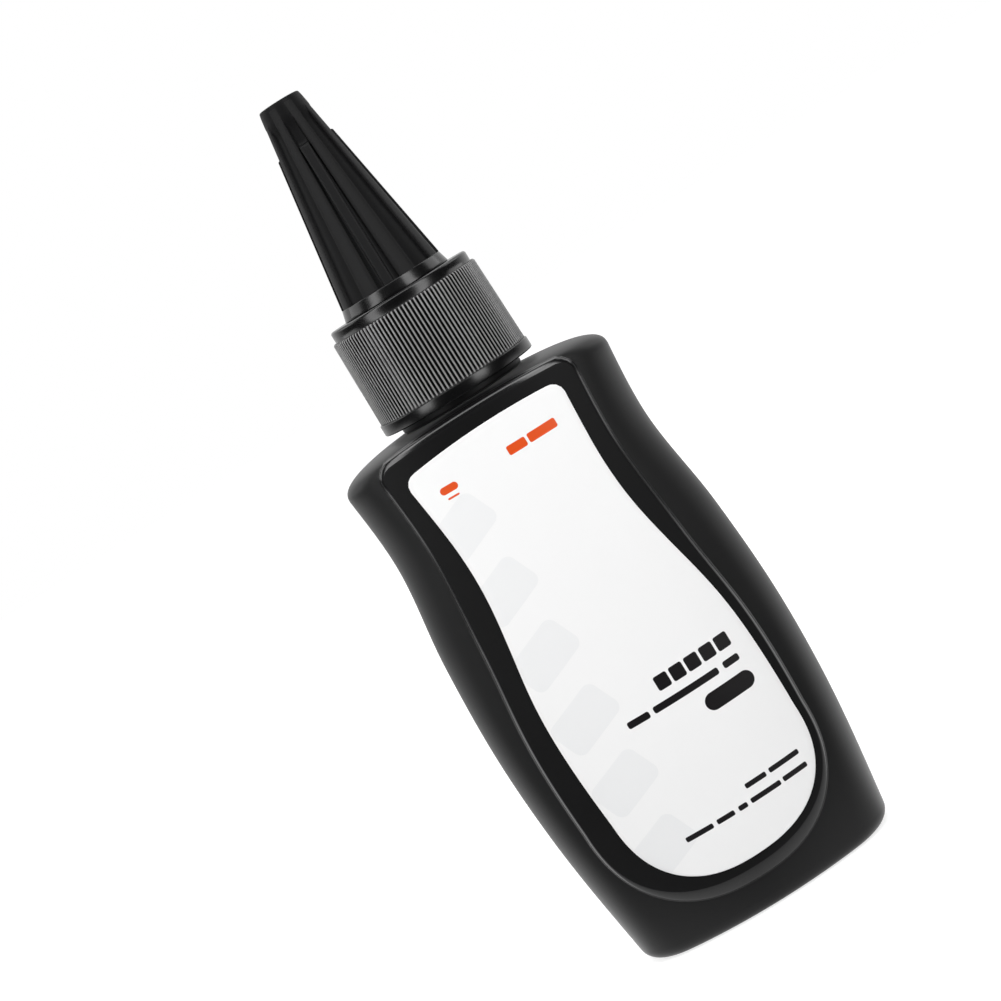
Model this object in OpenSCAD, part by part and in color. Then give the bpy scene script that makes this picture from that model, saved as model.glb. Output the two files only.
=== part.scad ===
// Squeeze bottle for fork oil: a blow-moulded oval bottle with a waisted front,
// a ribbed screw collar and a twist-open cone spout. It stands on its base,
// the front faces -Y and +Z is up. All sizes are in millimetres.

/* [Body outline, seen from the front] */
// height from the table to the root of the neck
body_h = 87.9; // [84:0.1:96]
// depth of the rounded shoulder below the neck root
shoulder_drop = 4.5; // [3.5:0.1:7]
// squareness of the shoulder: 2 is an ellipse, higher is squarer
shoulder_power = 2.65; // [2:0.05:3.5]
// width at the belly, the widest place, which the other places draw in from
hip_w = 49.5; // [46:0.1:54]
// height of the widest place
hip_z = 38; // [33:0.5:44]
// draw-in on each side just under the shoulder
shoulder_in = 2.05; // [0:0.05:4]
// draw-in on each side at the waist
waist_in = 2.775; // [1:0.025:5]
// distance from the neck root down to the waist
waist_drop = 15.4; // [12:0.1:19]
// draw-in on each side where the waist runs out into the belly
slope_in = 0.825; // [0:0.025:2]
// distance from the neck root down to that run-out
slope_drop = 32.9; // [28:0.1:36]
// draw-in on each side where the belly starts to narrow
flare_in = 0.5; // [0:0.05:2]
// height of that place
flare_z = 24; // [18:0.5:30]
// draw-in on each side just above the heel
foot_in = 2.825; // [1:0.025:5]
// height of that place
foot_z = 3.8; // [3:0.1:6]

/* [Body section, seen from above] */
// how far the panels stay behind the collar's flange, which sets the body's depth
face_back = 0.14; // [0:0.02:1]
// radius of the front and back walls
face_r = 42; // [36:1:60]
// wall of the blown body
wall_t = 1.0; // [0.7:0.1:1.2]
// rounding between the wall and the base
heel_r = 2.1; // [1.5:0.1:3]
// width of the flat rim that the bottle stands on
rim_w = 2.2; // [1.5:0.1:3]
// rise of the hollow in the base
pushup_h = 1.4; // [0.8:0.1:2.5]

/* [Raised panels, front and back] */
// how far a panel stands out of the wall
panel_rise = 0.7; // [0.4:0.05:1]
// margin from the outline to the panel at the shoulder
panel_margin_top = 6.5; // [5.5:0.1:8]
// margin from the outline to the panel at the foot of its sides
panel_margin_low = 5.5; // [4.5:0.1:7]
// distance from the neck root down to the panel's top
panel_top_drop = 1.0; // [0.8:0.1:4]
// arch of the panel's top edge
panel_arch = 0.7; // [0.2:0.1:1.5]
// corner radius at the panel's top
panel_corner_r = 3.0; // [2:0.1:5]
// height of the panel's lowest point
panel_low_z = 5.2; // [4:0.1:9]
// height of the panel's rounded lower end
panel_bowl_h = 18.4; // [14:0.2:24]
// squareness of that lower end
panel_bowl_power = 2.35; // [2:0.05:3]
// rounding of the panel's sides
panel_side_round = 0.6; // [0.3:0.05:1.2]
// rounding of the panel's top edge
panel_top_round = 1.3; // [0.5:0.1:2]
// rounding of the panel's lower edge
panel_low_round = 2.7; // [1:0.1:3]

/* [Label] */
// margin from the panel's edge to the label at its sides
label_margin = 2.5; // [2:0.1:5]
// how much wider the margin is at the label's top
label_top_in = 0.35; // [0:0.05:1]
// how much wider the margin is at the label's lower end
label_low_in = 0.8; // [0:0.05:1.5]
// how much wider the margin is at the label's waist
label_waist_in = 1.55; // [0:0.05:2]
// distance from the neck root down to the label's waist
label_waist_drop = 28.5; // [22:0.1:34]
// height over which that waist fades out
label_waist_h = 12; // [8:0.5:16]
// squareness of the label's lower end
label_bowl_power = 2.45; // [2:0.05:3]
// thickness of the film
label_t = 0.12; // [0.08:0.01:0.3]
// corner radius at the label's top
label_corner_r = 2.0; // [1:0.1:4]
// how far the label was stuck on out of true, in degrees
label_skew = 1.55; // [0:0.05:2]
// how far the label was stuck on to the right of the middle
label_shift = 0.9; // [0:0.05:1.2]
// adhesive between the panel and the film
label_glue = 0.03; // [0.03:0.01:0.06]

/* [Neck] */
// outer radius of the neck under its thread
neck_r = 9.9; // [9.4:0.1:10.3]
// wall of the neck
neck_wall = 1.8; // [1.3:0.1:2.4]
// height from the neck root to the rim
neck_h = 16.25; // [14.5:0.05:20]
// how far the bead at the foot of the neck stands out
bead_proud = 0.37; // [0.1:0.01:0.7]
// height of the bead
bead_h = 1.25; // [0.8:0.05:1.6]
// rounding under the bead
bead_round = 0.35; // [0.1:0.05:0.5]
// bead above the neck root
bead_lift = 0.1; // [0:0.05:0.3]
// thread height over the neck
thread_depth = 0.8; // [0.5:0.05:1]

/* [Sealing ring] */
// thickness of the ring between rim and collar
seal_t = 1.0; // [0.6:0.1:2]
// how far the ring reaches over the rim's inner edge
seal_lap = 0.5; // [0.2:0.1:1]
// gap around the ring inside the collar
seal_gap = 0.15; // [0.1:0.05:0.3]

/* [Screw collar] */
// height of the collar's foot over the neck root
collar_lift = 1.2; // [0.6:0.05:3]
// top wall of the collar
collar_top_t = 1.4; // [1:0.1:2]
// gap between the neck's thread and the collar's bore
thread_clear = 0.25; // [0.15:0.05:0.4]
// wall of the collar at the smooth flange at its foot
flange_wall = 1.89; // [1.7:0.01:3]
// height of the flange
flange_h = 1.78; // [1:0.02:3]
// step from the flange in to the grip ribs at their foot
grip_step = 0.26; // [0.1:0.02:0.6]
// how much the grip ribs draw in to their top
grip_taper = 0.26; // [0:0.02:0.5]
// depth of the grip ribs
grip_depth = 0.32; // [0.2:0.02:0.4]
// number of grip ribs
grip_n = 120; // [60:1:140]
// bevel at the top of the grip ribs
grip_bevel = 0.35; // [0.2:0.05:0.6]
// step from the grip ribs in to the smooth band at the top
band_step = 0.57; // [0.4:0.01:1]
// height of that band
band_h = 1.7; // [1.2:0.05:2.5]
// rounding of the band's top edge
band_round = 0.45; // [0.2:0.05:0.8]

/* [Stem inside the spout] */
// wall that the cone keeps around the stem's snap bead
relief_wall = 0.925; // [0.7:0.025:1.3]
// gap around the snap bead
snap_clear = 0.1; // [0.05:0.01:0.2]
// wall of the stem
stem_wall = 1.2; // [0.9:0.05:1.6]
// length of the spout's guide on the stem
guide_h = 3.2; // [2.4:0.1:4]
// play between the guide's end and the snap bead when the spout is open
snap_play = 0.12; // [0.05:0.01:0.3]
// stem beyond its snap bead
stem_lead = 1.03; // [0.6:0.01:2]
// height of the snap bead
snap_h = 0.85; // [0.5:0.05:1]
// how far the snap bead stands out
snap_out = 0.35; // [0.2:0.05:0.4]
// radius of the closing pin
pin_r = 1.5; // [1.2:0.05:1.8]
// pin's end below the spout's tip
pin_recess = 0.15; // [0:0.05:0.5]
// thickness of the webs that hold the pin
web_t = 0.9; // [0.6:0.1:1.2]
// height of the webs
web_h = 4; // [2:0.5:6]
// number of webs
web_n = 3; // [3:1:4]

/* [Cone spout] */
// height of the spout
spout_h = 32.9; // [30:0.1:38]
// radius at the tip
tip_r = 3.4; // [3.2:0.05:4]
// rounding of the tip's edge
tip_round = 0.4; // [0.1:0.05:0.6]
// slope of the cone's side, in degrees
cone_slope = 9; // [8.8:0.1:10]
// how far the foot ring's upper edge stands out of the lands
ring_step = 0.18; // [0.1:0.01:0.6]
// how much the foot ring widens to its lower edge
ring_flare = 0.43; // [0:0.01:0.8]
// height of the foot ring
ring_h = 1.85; // [1.2:0.05:2.5]
// depth of the grooves between the lands
groove_depth = 0.5; // [0.3:0.05:0.6]
// where the grooves run out below the tip
groove_end = 2.2; // [1.5:0.1:4]
// where a land starts beside its rib, in degrees
land_from = 11; // [9:0.5:14]
// where a land ends, in degrees
land_to = 31; // [26:0.5:36]
// width of the four narrow ribs
rib_w = 1.55; // [1:0.05:2]
// how far those ribs stand over the lands
rib_proud = 0.17; // [0.1:0.01:0.3]
// where those ribs start below the tip
rib_start = 7.4; // [5:0.1:10]
// gap around the pin in the spout's hole
pin_clear = 0.08; // [0.05:0.01:0.1]
// length of the spout's hole
hole_h = 1.2; // [0.8:0.1:1.8]
// wall of the cone under its grooves
cone_wall = 1.15; // [0.9:0.05:1.3]
// running gap between the stem and the spout
stem_clear = 0.06; // [0.03:0.01:0.1]
// travel of the spout from shut to open
spout_travel = 2.8; // [2.4:0.1:3]

/* [Hidden] */
$fn = 64;

// ---- heights that pieces share ----
rim_z = body_h + neck_h;                          // rim of the neck
collar_top_z = rim_z + seal_t + collar_top_t;     // seat of the spout
collar_low_z = body_h + collar_lift;
collar_h = collar_top_z - collar_low_z;
tip_z = collar_top_z + spout_h;

// ---- radii that follow from the neck, outwards to the body's depth ----
neck_bore_r = neck_r - neck_wall;
bead_r = neck_r + bead_proud;
collar_bore_r = neck_r + thread_depth + thread_clear;
flange_r = collar_bore_r + flange_wall;
grip_low_r = flange_r - grip_step;
grip_top_r = grip_low_r - grip_taper;
band_r = grip_top_r - band_step;
body_d = 2 * (flange_r - face_back - panel_rise);

// ---- radii of the cone, inwards to the stem that carries it ----
cone_rate = tan(cone_slope);
function land_r(z) = tip_r + (tip_z - z) * cone_rate;
function floor_r(z) = land_r(z) - groove_depth;
ring_top_r = land_r(collar_top_z + ring_h) + ring_step;
ring_low_r = ring_top_r + ring_flare;
// the snap bead lies one travel over the spout's stop
stem_snap_z = collar_top_z + guide_h + spout_travel + snap_play;
stem_h = stem_snap_z + snap_h + stem_lead - collar_top_z;
relief_z = stem_snap_z + snap_h + 0.2;            // top of the hollow around the snap bead
relief_r = floor_r(relief_z) - relief_wall;
stem_r = relief_r - snap_clear - snap_out;

// ---- outline of the body: a smooth curve through its named places ----
shoulder_w = hip_w - 2 * shoulder_in;
waist_w = hip_w - 2 * waist_in;
waist_z = body_h - waist_drop;
slope_w = hip_w - 2 * slope_in;
slope_z = body_h - slope_drop;
flare_w = hip_w - 2 * flare_in;
foot_w = hip_w - 2 * foot_in;
root_r = bead_r - 0.2;                            // the shoulder ends under the bead
// height of the shoulder's curve at a distance x from the axis
function shoulder_rise(x) =
    shoulder_drop * pow(1 - pow(x / (shoulder_w / 2), shoulder_power), 1 / shoulder_power);
shoulder_z = body_h - shoulder_rise(root_r);
places = [[foot_z, foot_w], [flare_z, flare_w], [hip_z, hip_w],
          [slope_z, slope_w], [waist_z, waist_w], [shoulder_z, shoulder_w]];
last_place = len(places) - 1;
function rate(i) = (places[i + 1][1] - places[i][1]) / (places[i + 1][0] - places[i][0]);
function span(i) = places[i + 1][0] - places[i][0];
// slope of the curve at a place: the parabola through it and its neighbours
function slope_at(i) =
    i == 0 ? rate(0) + 0.5 * (rate(0) - slope_at(1)) :
    i == last_place ? rate(i - 1) + 0.5 * (rate(i - 1) - slope_at(i - 1)) :
    (rate(i - 1) * span(i) + rate(i) * span(i - 1)) / (span(i - 1) + span(i));
function place_below(z, i = 0) =
    i >= last_place - 1 || z < places[i + 1][0] ? i : place_below(z, i + 1);
function cubic(i, t) =
    (1 + 2 * t) * pow(1 - t, 2) * places[i][1] + t * pow(1 - t, 2) * span(i) * slope_at(i)
    + t * t * (3 - 2 * t) * places[i + 1][1] + t * t * (t - 1) * span(i) * slope_at(i + 1);
// width of the body at height z, running on straight below the lowest place
function body_w(z) = let (i = place_below(z))
    z < foot_z ? foot_w + (z - foot_z) * slope_at(0) : cubic(i, (z - places[i][0]) / span(i));

// ---- section of the body: two wide arcs joined by two tight ones ----
// a, b: half width and half depth; r: radius of the wide arcs
function tight_r(a, b, r) = (r * r - pow(r - b, 2) - a * a) / (2 * (r - a));
// distance from the axis to the section in the direction [u, v], both positive
function reach(a, b, r, u, v) =
    let (s = tight_r(a, b, r), c = r - b, e = a - s,
         on_wide = v * e * r > u * c * s)
    on_wide ? -c * v + sqrt(c * c * v * v + r * r - c * c)
            : e * u + sqrt(max(0, e * e * u * u + s * s - e * e));
function section_point(a, b, r, i, n) =
    let (t = 360 * i / n, x = a * cos(t), y = b * sin(t), d = norm([x, y]),
         k = reach(a, b, r, abs(x) / d, abs(y) / d))
    [k * x / d, k * y / d];

// a closed solid through rings; a ring is [half width, half depth, radius, height]
module loft(rings, n) {
    m = len(rings);
    points = [for (g = rings) for (i = [0 : n - 1])
        let (p = section_point(g[0], g[1], g[2], i, n)) [p[0], p[1], g[3]]];
    walls = [for (j = [0 : m - 2]) for (i = [0 : n - 1]) let (k = (i + 1) % n)
        each [[j * n + i, (j + 1) * n + i, (j + 1) * n + k],
              [j * n + i, (j + 1) * n + k, j * n + k]]];
    polyhedron(points = points, convexity = 6,
        faces = concat([[for (i = [0 : n - 1]) i]], walls,
                       [[for (i = [n - 1 : -1 : 0]) (m - 1) * n + i]]));
}

// one ring of the body, drawn in by a distance d all round
function body_ring(z, d) = [body_w(z) / 2 - d, body_d / 2 - d, face_r - d, z];
function base_ring(d, z) = [body_w(0) / 2 - d, body_d / 2 - d, face_r - d, z];
// the rings over the shoulder, from the straight wall to a round end of radius end_r
function shoulder_rings(d, end_r, top_z, steps) =
    let (a0 = shoulder_w / 2 - d, b0 = body_d / 2 - d, h = top_z - shoulder_z,
         k = pow(1 - pow(end_r / a0, shoulder_power), 1 / shoulder_power),
         turn = asin(pow(k, shoulder_power / 2)), e = b0 - end_r)
    [for (j = [1 : steps])
        let (t = turn * j / steps, z = h * pow(sin(t), 2 / shoulder_power) / k,
             a = j == steps ? end_r : a0 * pow(cos(t), 2 / shoulder_power),
             f = max(0, (z - (h - min(e, h))) / min(e, h)),
             b = j == steps ? end_r : b0 - e * (1 - sqrt(max(0, 1 - f * f))))
        [max(a, end_r), min(b, max(a, end_r)), face_r - d, shoulder_z + z]];

body_steps = 17;
module outer_skin() {
    rim_in = heel_r + rim_w;
    loft(concat(
        [base_ring(rim_in + 2.2, pushup_h), base_ring(rim_in + 0.9, pushup_h * 0.75),
         base_ring(rim_in, 0), base_ring(heel_r, 0)],
        [for (t = [22.5 : 22.5 : 67.5]) let (z = heel_r * (1 - cos(t)))
            body_ring(z, heel_r * (1 - sin(t)))],
        [for (j = [0 : body_steps])
            body_ring(heel_r + (shoulder_z - heel_r) * j / body_steps, 0)],
        shoulder_rings(0, root_r, body_h, 8)), 48);
}

inner_steps = 12;
module inner_skin() {
    rim_in = heel_r + rim_w;
    turn_r = max(0.3, heel_r - wall_t);
    loft(concat(
        [base_ring(rim_in + 2.0, pushup_h + wall_t),
         base_ring(rim_in - 0.3, wall_t + 0.05),
         base_ring(wall_t + turn_r, wall_t)],
        [body_ring(wall_t + turn_r * 0.3, wall_t + turn_r * 0.3)],
        [for (j = [0 : inner_steps])
            body_ring(wall_t + turn_r + (shoulder_z - wall_t - turn_r) * j / inner_steps, wall_t)],
        shoulder_rings(wall_t, neck_bore_r - 0.3, body_h - wall_t, 6)), 36);
}

// ---- outline of the panel, and of the label that follows it within a margin ----
panel_bowl_z = panel_low_z + panel_bowl_h;
panel_top_z = body_h - panel_top_drop;
function panel_half(z) = let (f = (z - panel_bowl_z) / (shoulder_z - panel_bowl_z))
    body_w(min(z, shoulder_z)) / 2 - panel_margin_low - (panel_margin_top - panel_margin_low) * f;
// half width at height z; share is 0 on the panel's outline and 1 on the label's
function half_width(z, share) = panel_half(z) - share * (label_margin
    + label_waist_in * exp(-pow((z - (body_h - label_waist_drop)) / label_waist_h, 2)));
// right-hand half, from the lowest point round to the middle of the top
function half_outline(share, corner, power, steps) =
    let (a = half_width(panel_bowl_z, share), q = 2 / power,
         b = panel_bowl_h - share * (label_margin + label_low_in),
         top = panel_top_z - share * (label_margin + label_top_in),
         edge = top - panel_arch - corner,
         cx = half_width(edge, share) - corner,
         tilt = atan(2 * panel_arch / cx))
    concat(
        [for (j = [0 : 8]) let (t = 90 - 90 * j / 8)
            [a * pow(cos(t), q), panel_bowl_z - b * pow(sin(t), q)]],
        [for (j = [1 : steps]) let (z = panel_bowl_z + (edge - panel_bowl_z) * j / steps)
            [half_width(z, share), z]],
        [for (j = [1 : 3]) let (t = (90 - tilt) * j / 3)
            [cx + corner * cos(t), edge + corner * sin(t)]],
        [for (j = [1 : 3]) let (x = cx * (1 - j / 3))
            [x, top - panel_arch * pow(x / cx, 2)]]);
// the whole loop: the right half up, then the left half down
function whole_loop(h) = concat(h, [for (i = [len(h) - 2 : -1 : 1]) [-h[i][0], h[i][1]]]);

// a point of the front at x and z, standing out from the wall by o
function front_point(x, z, o) =
    [x, (face_r - body_d / 2) - sqrt(pow(face_r + o, 2) - x * x), z];

panel_embed = 0.5 * wall_t;
module front_panel() {
    edge = whole_loop(half_outline(0, panel_corner_r, panel_bowl_power, 8));
    n = len(edge);
    half = n / 2;
    // outward direction at a point of the loop
    function out(i) = let (d = edge[(i + 1) % n] - edge[(i + n - 1) % n]) [d[1], -d[0]] / norm(d);
    function drawn_in(i) = let (o = out(i))
        panel_side_round + (o[1] > 0 ? (panel_top_round - panel_side_round) * pow(o[1], 2)
                                     : (panel_low_round - panel_side_round) * pow(o[1], 2));
    mid_z = (panel_low_z + panel_top_z) / 2;
    // [share of the rounding, share of the rise, draw towards the middle line]
    rings = [for (k = [0.08, 0.35, 0.7]) [0, -1, 1 - k],
             each [[0, -1, 0], [0.1, 0.44, 0], [0.35, 0.76, 0], [0.65, 0.937, 0], [1, 1, 0]],
             for (k = [0.2, 0.4, 0.6, 0.8, 0.94]) [1, 1, k]];
    m = len(rings);
    function ring_point(g, i) =
        let (p = edge[i] - out(i) * drawn_in(i) * g[0],
             x = p[0] * (1 - g[2]), z = mid_z + (p[1] - mid_z) * (1 - 0.12 * g[2]))
        front_point(x, z, g[1] < 0 ? -panel_embed : panel_rise * g[1]);
    points = [for (g = rings) for (i = [0 : n - 1]) ring_point(g, i)];
    walls = [for (j = [0 : m - 2]) for (i = [0 : n - 1]) let (k = (i + 1) % n)
        each [[j * n + i, (j + 1) * n + k, (j + 1) * n + i],
              [j * n + i, j * n + k, (j + 1) * n + k]]];
    // each end is closed across the middle line
    function closing(o, flip) =
        [for (i = [0 : half - 1]) let (l = (n - i) % n, l2 = n - i - 1)
            each (i == 0 ? [flip ? [o, o + 1, o + l2] : [o, o + l2, o + 1]] :
                  i == half - 1 ? [flip ? [o + i, o + i + 1, o + l] : [o + i, o + l, o + i + 1]] :
                  [flip ? [o + i, o + i + 1, o + l2] : [o + i, o + l2, o + i + 1],
                   flip ? [o + i, o + l2, o + l] : [o + i, o + l, o + l2]])];
    polyhedron(points = points, convexity = 6,
        faces = concat(closing(0, true), walls, closing((m - 1) * n, false)));
}

module neck() {
    low = body_h + bead_lift;
    rotate_extrude() polygon(concat(
        [[neck_bore_r - 1.2, body_h - wall_t], [neck_r, body_h - wall_t], [neck_r, low]],
        [for (t = [-90 : 15 : 0]) [bead_r - bead_round + bead_round * cos(t),
                                   low + bead_round + bead_round * sin(t)]],
        [[bead_r, low + bead_h - 0.1], [bead_r - 0.1, low + bead_h], [neck_r, low + bead_h],
         [neck_r, rim_z - 0.3], [neck_r - 0.3, rim_z], [neck_bore_r - 1.2, rim_z]]));
}

module bottle() {
    color([0.13, 0.13, 0.13]) difference() {
        union() {
            outer_skin();
            front_panel();
            rotate([0, 0, 180]) front_panel();
            neck();
        }
        inner_skin();
        translate([0, 0, body_h - wall_t - 1.5]) cylinder(r = neck_bore_r, h = neck_h + wall_t + 3);
    }
}

module label() {
    seat_r = face_r + panel_rise + label_glue;
    mid_z = (panel_low_z + panel_top_z) / 2;
    color([0.95, 0.95, 0.93]) intersection() {
        translate([0, face_r - body_d / 2, 0]) difference() {
            cylinder(r = seat_r + label_t, h = body_h, $fn = 200);
            translate([0, 0, -1]) cylinder(r = seat_r, h = body_h + 2, $fn = 200);
        }
        translate([label_shift, 0, mid_z]) rotate([90, 0, 0]) rotate([0, 0, label_skew])
            linear_extrude(height = body_d) translate([0, -mid_z])
                polygon(whole_loop(half_outline(1, label_corner_r, label_bowl_power, 14)));
    }
}

module seal_ring() {
    color([0.85, 0.85, 0.8]) translate([0, 0, rim_z]) difference() {
        cylinder(r = collar_bore_r - seal_gap, h = seal_t);
        translate([0, 0, -1]) cylinder(r = neck_bore_r - seal_lap, h = seal_t + 2);
    }
}

// ---- collar ----
grip_low_z = collar_low_z + flange_h;
grip_top_z = collar_top_z - band_h;
module grip_ribs() {
    valley = grip_top_r - grip_depth;
    pitch = 360 / grip_n;
    intersection() {
        translate([0, 0, grip_low_z - 0.05]) linear_extrude(height = grip_top_z - grip_low_z + 0.05)
            polygon([for (i = [0 : grip_n - 1]) for (s = [[-0.46, 0], [-0.16, 1], [0.16, 1], [0.46, 0]])
                let (r = s[1] == 0 ? valley : grip_low_r + 0.2)
                [r * cos((i + s[0]) * pitch), r * sin((i + s[0]) * pitch)]]);
        rotate_extrude() polygon([[valley - 0.6, grip_low_z - 0.1], [grip_low_r, grip_low_z - 0.1],
            [grip_low_r, grip_low_z], [grip_top_r, grip_top_z - grip_bevel],
            [grip_top_r - grip_bevel, grip_top_z + 0.1], [valley - 0.6, grip_top_z + 0.1]]);
    }
}

module stem() {
    low = collar_top_z;
    snap_z = stem_snap_z;
    rotate_extrude() polygon([
        [stem_r - stem_wall, low - 0.5], [stem_r, low - 0.5], [stem_r, snap_z],
        [stem_r + snap_out, snap_z + 0.1], [stem_r + snap_out, snap_z + snap_h / 2],
        [stem_r - 0.1, snap_z + snap_h + 0.1], [stem_r - 0.6, low + stem_h],
        [stem_r - stem_wall, low + stem_h]]);
    // the pin closes the spout's hole, and its webs leave the way for the oil
    translate([0, 0, low + stem_h - web_h]) cylinder(r = pin_r, h = spout_h - stem_h + web_h - pin_recess);
    for (i = [0 : web_n - 1]) rotate([0, 0, 360 * i / web_n + 90])
        translate([0, -web_t / 2, low + stem_h - web_h]) cube([stem_r - stem_wall / 2, web_t, web_h - 0.3]);
}

module collar() {
    valley = grip_top_r - grip_depth;
    color([0.16, 0.16, 0.16]) {
        difference() {
            union() {
                rotate_extrude() polygon(concat(
                    [[0, collar_low_z], [flange_r - 0.25, collar_low_z], [flange_r, collar_low_z + 0.25],
                     [flange_r, grip_low_z - 0.15], [flange_r - 0.15, grip_low_z], [valley, grip_low_z],
                     [valley, grip_top_z - 0.1], [band_r, grip_top_z]],
                    [for (t = [0 : 15 : 90]) [band_r - band_round + band_round * cos(t),
                                              collar_top_z - band_round + band_round * sin(t)]],
                    [[0, collar_top_z]]));
                grip_ribs();
            }
            translate([0, 0, collar_low_z - 1])
                cylinder(r = collar_bore_r, h = collar_h - collar_top_t + 1);
            translate([0, 0, collar_low_z]) cylinder(r = stem_r - stem_wall, h = collar_h + 1);
        }
        stem();
    }
}

// ---- spout ----
module spout_skin() {
    low = collar_top_z;
    ring_z = low + ring_h;
    run_z = tip_z - groove_end;
    // the floor of the grooves, with the plain tip and the foot ring
    rotate_extrude() polygon(concat(
        [[0, low], [ring_low_r, low], [ring_top_r, ring_z - 0.1], [ring_top_r - 0.1, ring_z],
         [floor_r(ring_z), ring_z + 0.05], [floor_r(run_z - 2.5), run_z - 2.5], [land_r(run_z), run_z]],
        [for (t = [0 : 22.5 : 90]) [tip_r - tip_round + tip_round * cos(t),
                                    tip_z - tip_round + tip_round * sin(t)]],
        [[0, tip_z]]));
    // the lands, two beside each rib
    for (i = [0 : 3], s = [land_from, -land_to]) rotate([0, 0, 90 * i + s])
        rotate_extrude(angle = land_to - land_from) polygon([
            [floor_r(ring_z) - 0.4, ring_z - 0.3], [land_r(ring_z), ring_z - 0.3],
            [land_r(ring_z), ring_z], [land_r(run_z), run_z],
            [land_r(run_z) - 0.4, run_z], [floor_r(run_z - 2.5) - 0.4, run_z - 2.5]]);
    // the four narrow ribs
    intersection() {
        rib_z = tip_z - rib_start;
        union() for (i = [0, 1]) rotate([0, 0, 90 * i])
            translate([-ring_low_r, -rib_w / 2, ring_z - 0.3]) cube([2 * ring_low_r, rib_w, rib_z - ring_z + 0.3]);
        rotate_extrude() polygon([[0, ring_z - 0.4], [land_r(ring_z) + rib_proud, ring_z - 0.4],
            [land_r(ring_z) + rib_proud, ring_z], [land_r(rib_z) + rib_proud, rib_z + 0.1], [0, rib_z + 0.1]]);
    }
}

module spout() {
    low = collar_top_z;
    stop_z = low + guide_h;
    bore_r = stem_r + stem_clear;
    hole_r = pin_r + pin_clear;
    hollow_z = relief_z + 0.6;
    hollow_r = floor_r(hollow_z) - cone_wall;
    throat_z = tip_z - hole_h - 0.8;
    throat_r = land_r(throat_z) - groove_depth - cone_wall + 0.15;
    color([0.14, 0.14, 0.14]) difference() {
        spout_skin();
        rotate_extrude() polygon([[0, low - 1], [bore_r, low - 1], [bore_r, stop_z],
            [relief_r, stop_z + 0.1], [relief_r, relief_z], [hollow_r, hollow_z],
            [throat_r, throat_z], [hole_r, throat_z + 0.8], [hole_r, tip_z + 1], [0, tip_z + 1]]);
    }
}

bottle();
label();
seal_ring();
collar();
spout();
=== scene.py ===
"""Looks of a squeeze bottle for fork oil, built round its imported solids.

The bottle stands on its base, its front faces -Y and +Z is up. Shapes are worked
out in millimetres as whole arrays of points, and put into meshes in metres.
"""

import logging
import math
from dataclasses import dataclass, field, replace
from enum import Enum, IntEnum

import bpy
import numpy as np
from mathutils import Matrix, Vector

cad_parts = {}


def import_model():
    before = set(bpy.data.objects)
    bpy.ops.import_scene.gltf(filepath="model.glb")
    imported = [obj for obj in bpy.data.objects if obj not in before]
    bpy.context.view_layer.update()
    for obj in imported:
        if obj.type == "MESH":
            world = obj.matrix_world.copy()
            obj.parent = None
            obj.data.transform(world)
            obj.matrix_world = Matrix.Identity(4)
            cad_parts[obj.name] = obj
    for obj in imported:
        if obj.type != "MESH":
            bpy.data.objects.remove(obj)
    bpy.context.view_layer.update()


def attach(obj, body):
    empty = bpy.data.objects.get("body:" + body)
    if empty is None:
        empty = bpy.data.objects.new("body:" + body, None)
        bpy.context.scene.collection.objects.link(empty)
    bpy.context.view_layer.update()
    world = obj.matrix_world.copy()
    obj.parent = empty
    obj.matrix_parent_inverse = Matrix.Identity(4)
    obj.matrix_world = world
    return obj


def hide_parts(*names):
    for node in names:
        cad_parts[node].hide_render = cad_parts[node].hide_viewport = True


LOG = logging.getLogger("bottle")
MM = 0.001
TURN = 2 * math.pi
QUARTER = TURN / 4

Profile = list[tuple[float, float]]
Colour = tuple[float, float, float]
Socket = bpy.types.NodeSocket


class Side(Enum):
    """The two faces of the flat body: the front looks along -Y."""

    FRONT = 1
    BACK = -1


class BottleSlot(IntEnum):
    """Material slots of the bottle."""

    WALL = 0
    FACE = 1
    EDGE = 2


class SpoutSlot(IntEnum):
    """Material slots of the spout."""

    RING = 0
    LAND = 1
    GROOVE = 2


class Ink(Enum):
    """The label's inks, by their colours."""

    PALE = (0.88, 0.885, 0.89)
    ORANGE = (0.76, 0.08, 0.006)
    BLACK = (0.008, 0.007, 0.008)


def smooth(x: np.ndarray) -> np.ndarray:
    """Smooth step: 3x^2 - 2x^3 of x held between 0 and 1."""
    x = np.clip(x, 0.0, 1.0)
    return x * x * (3 - 2 * x)


def angles(columns: int) -> np.ndarray:
    """Even angles round the axis, anticlockwise seen from above."""
    return TURN * np.arange(columns) / columns


def around(radius: np.ndarray, turn: np.ndarray, height: np.ndarray | float) -> np.ndarray:
    """Points round the axis: (r cos t, r sin t, z), the three spread to one shape."""
    radius, turn, height = np.broadcast_arrays(radius, turn, height)
    return np.stack([radius * np.cos(turn), radius * np.sin(turn), height], axis=-1)


def round_corner(centre: tuple[float, float], radius: float, start: float, end: float,
                 steps: int) -> Profile:
    """Points of an arc in the radius-height plane.

    Args:
        centre: Radius and height of the arc's centre.
        radius: Radius of the arc.
        start: First angle in degrees, 0 pointing outwards and 90 up.
        end: Last angle in degrees.
        steps: Number of spaces between the points.

    Returns:
        Pairs of radius and height.
    """
    turn = np.radians(np.linspace(start, end, steps + 1))
    return list(zip(centre[0] + radius * np.cos(turn), centre[1] + radius * np.sin(turn)))


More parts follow.
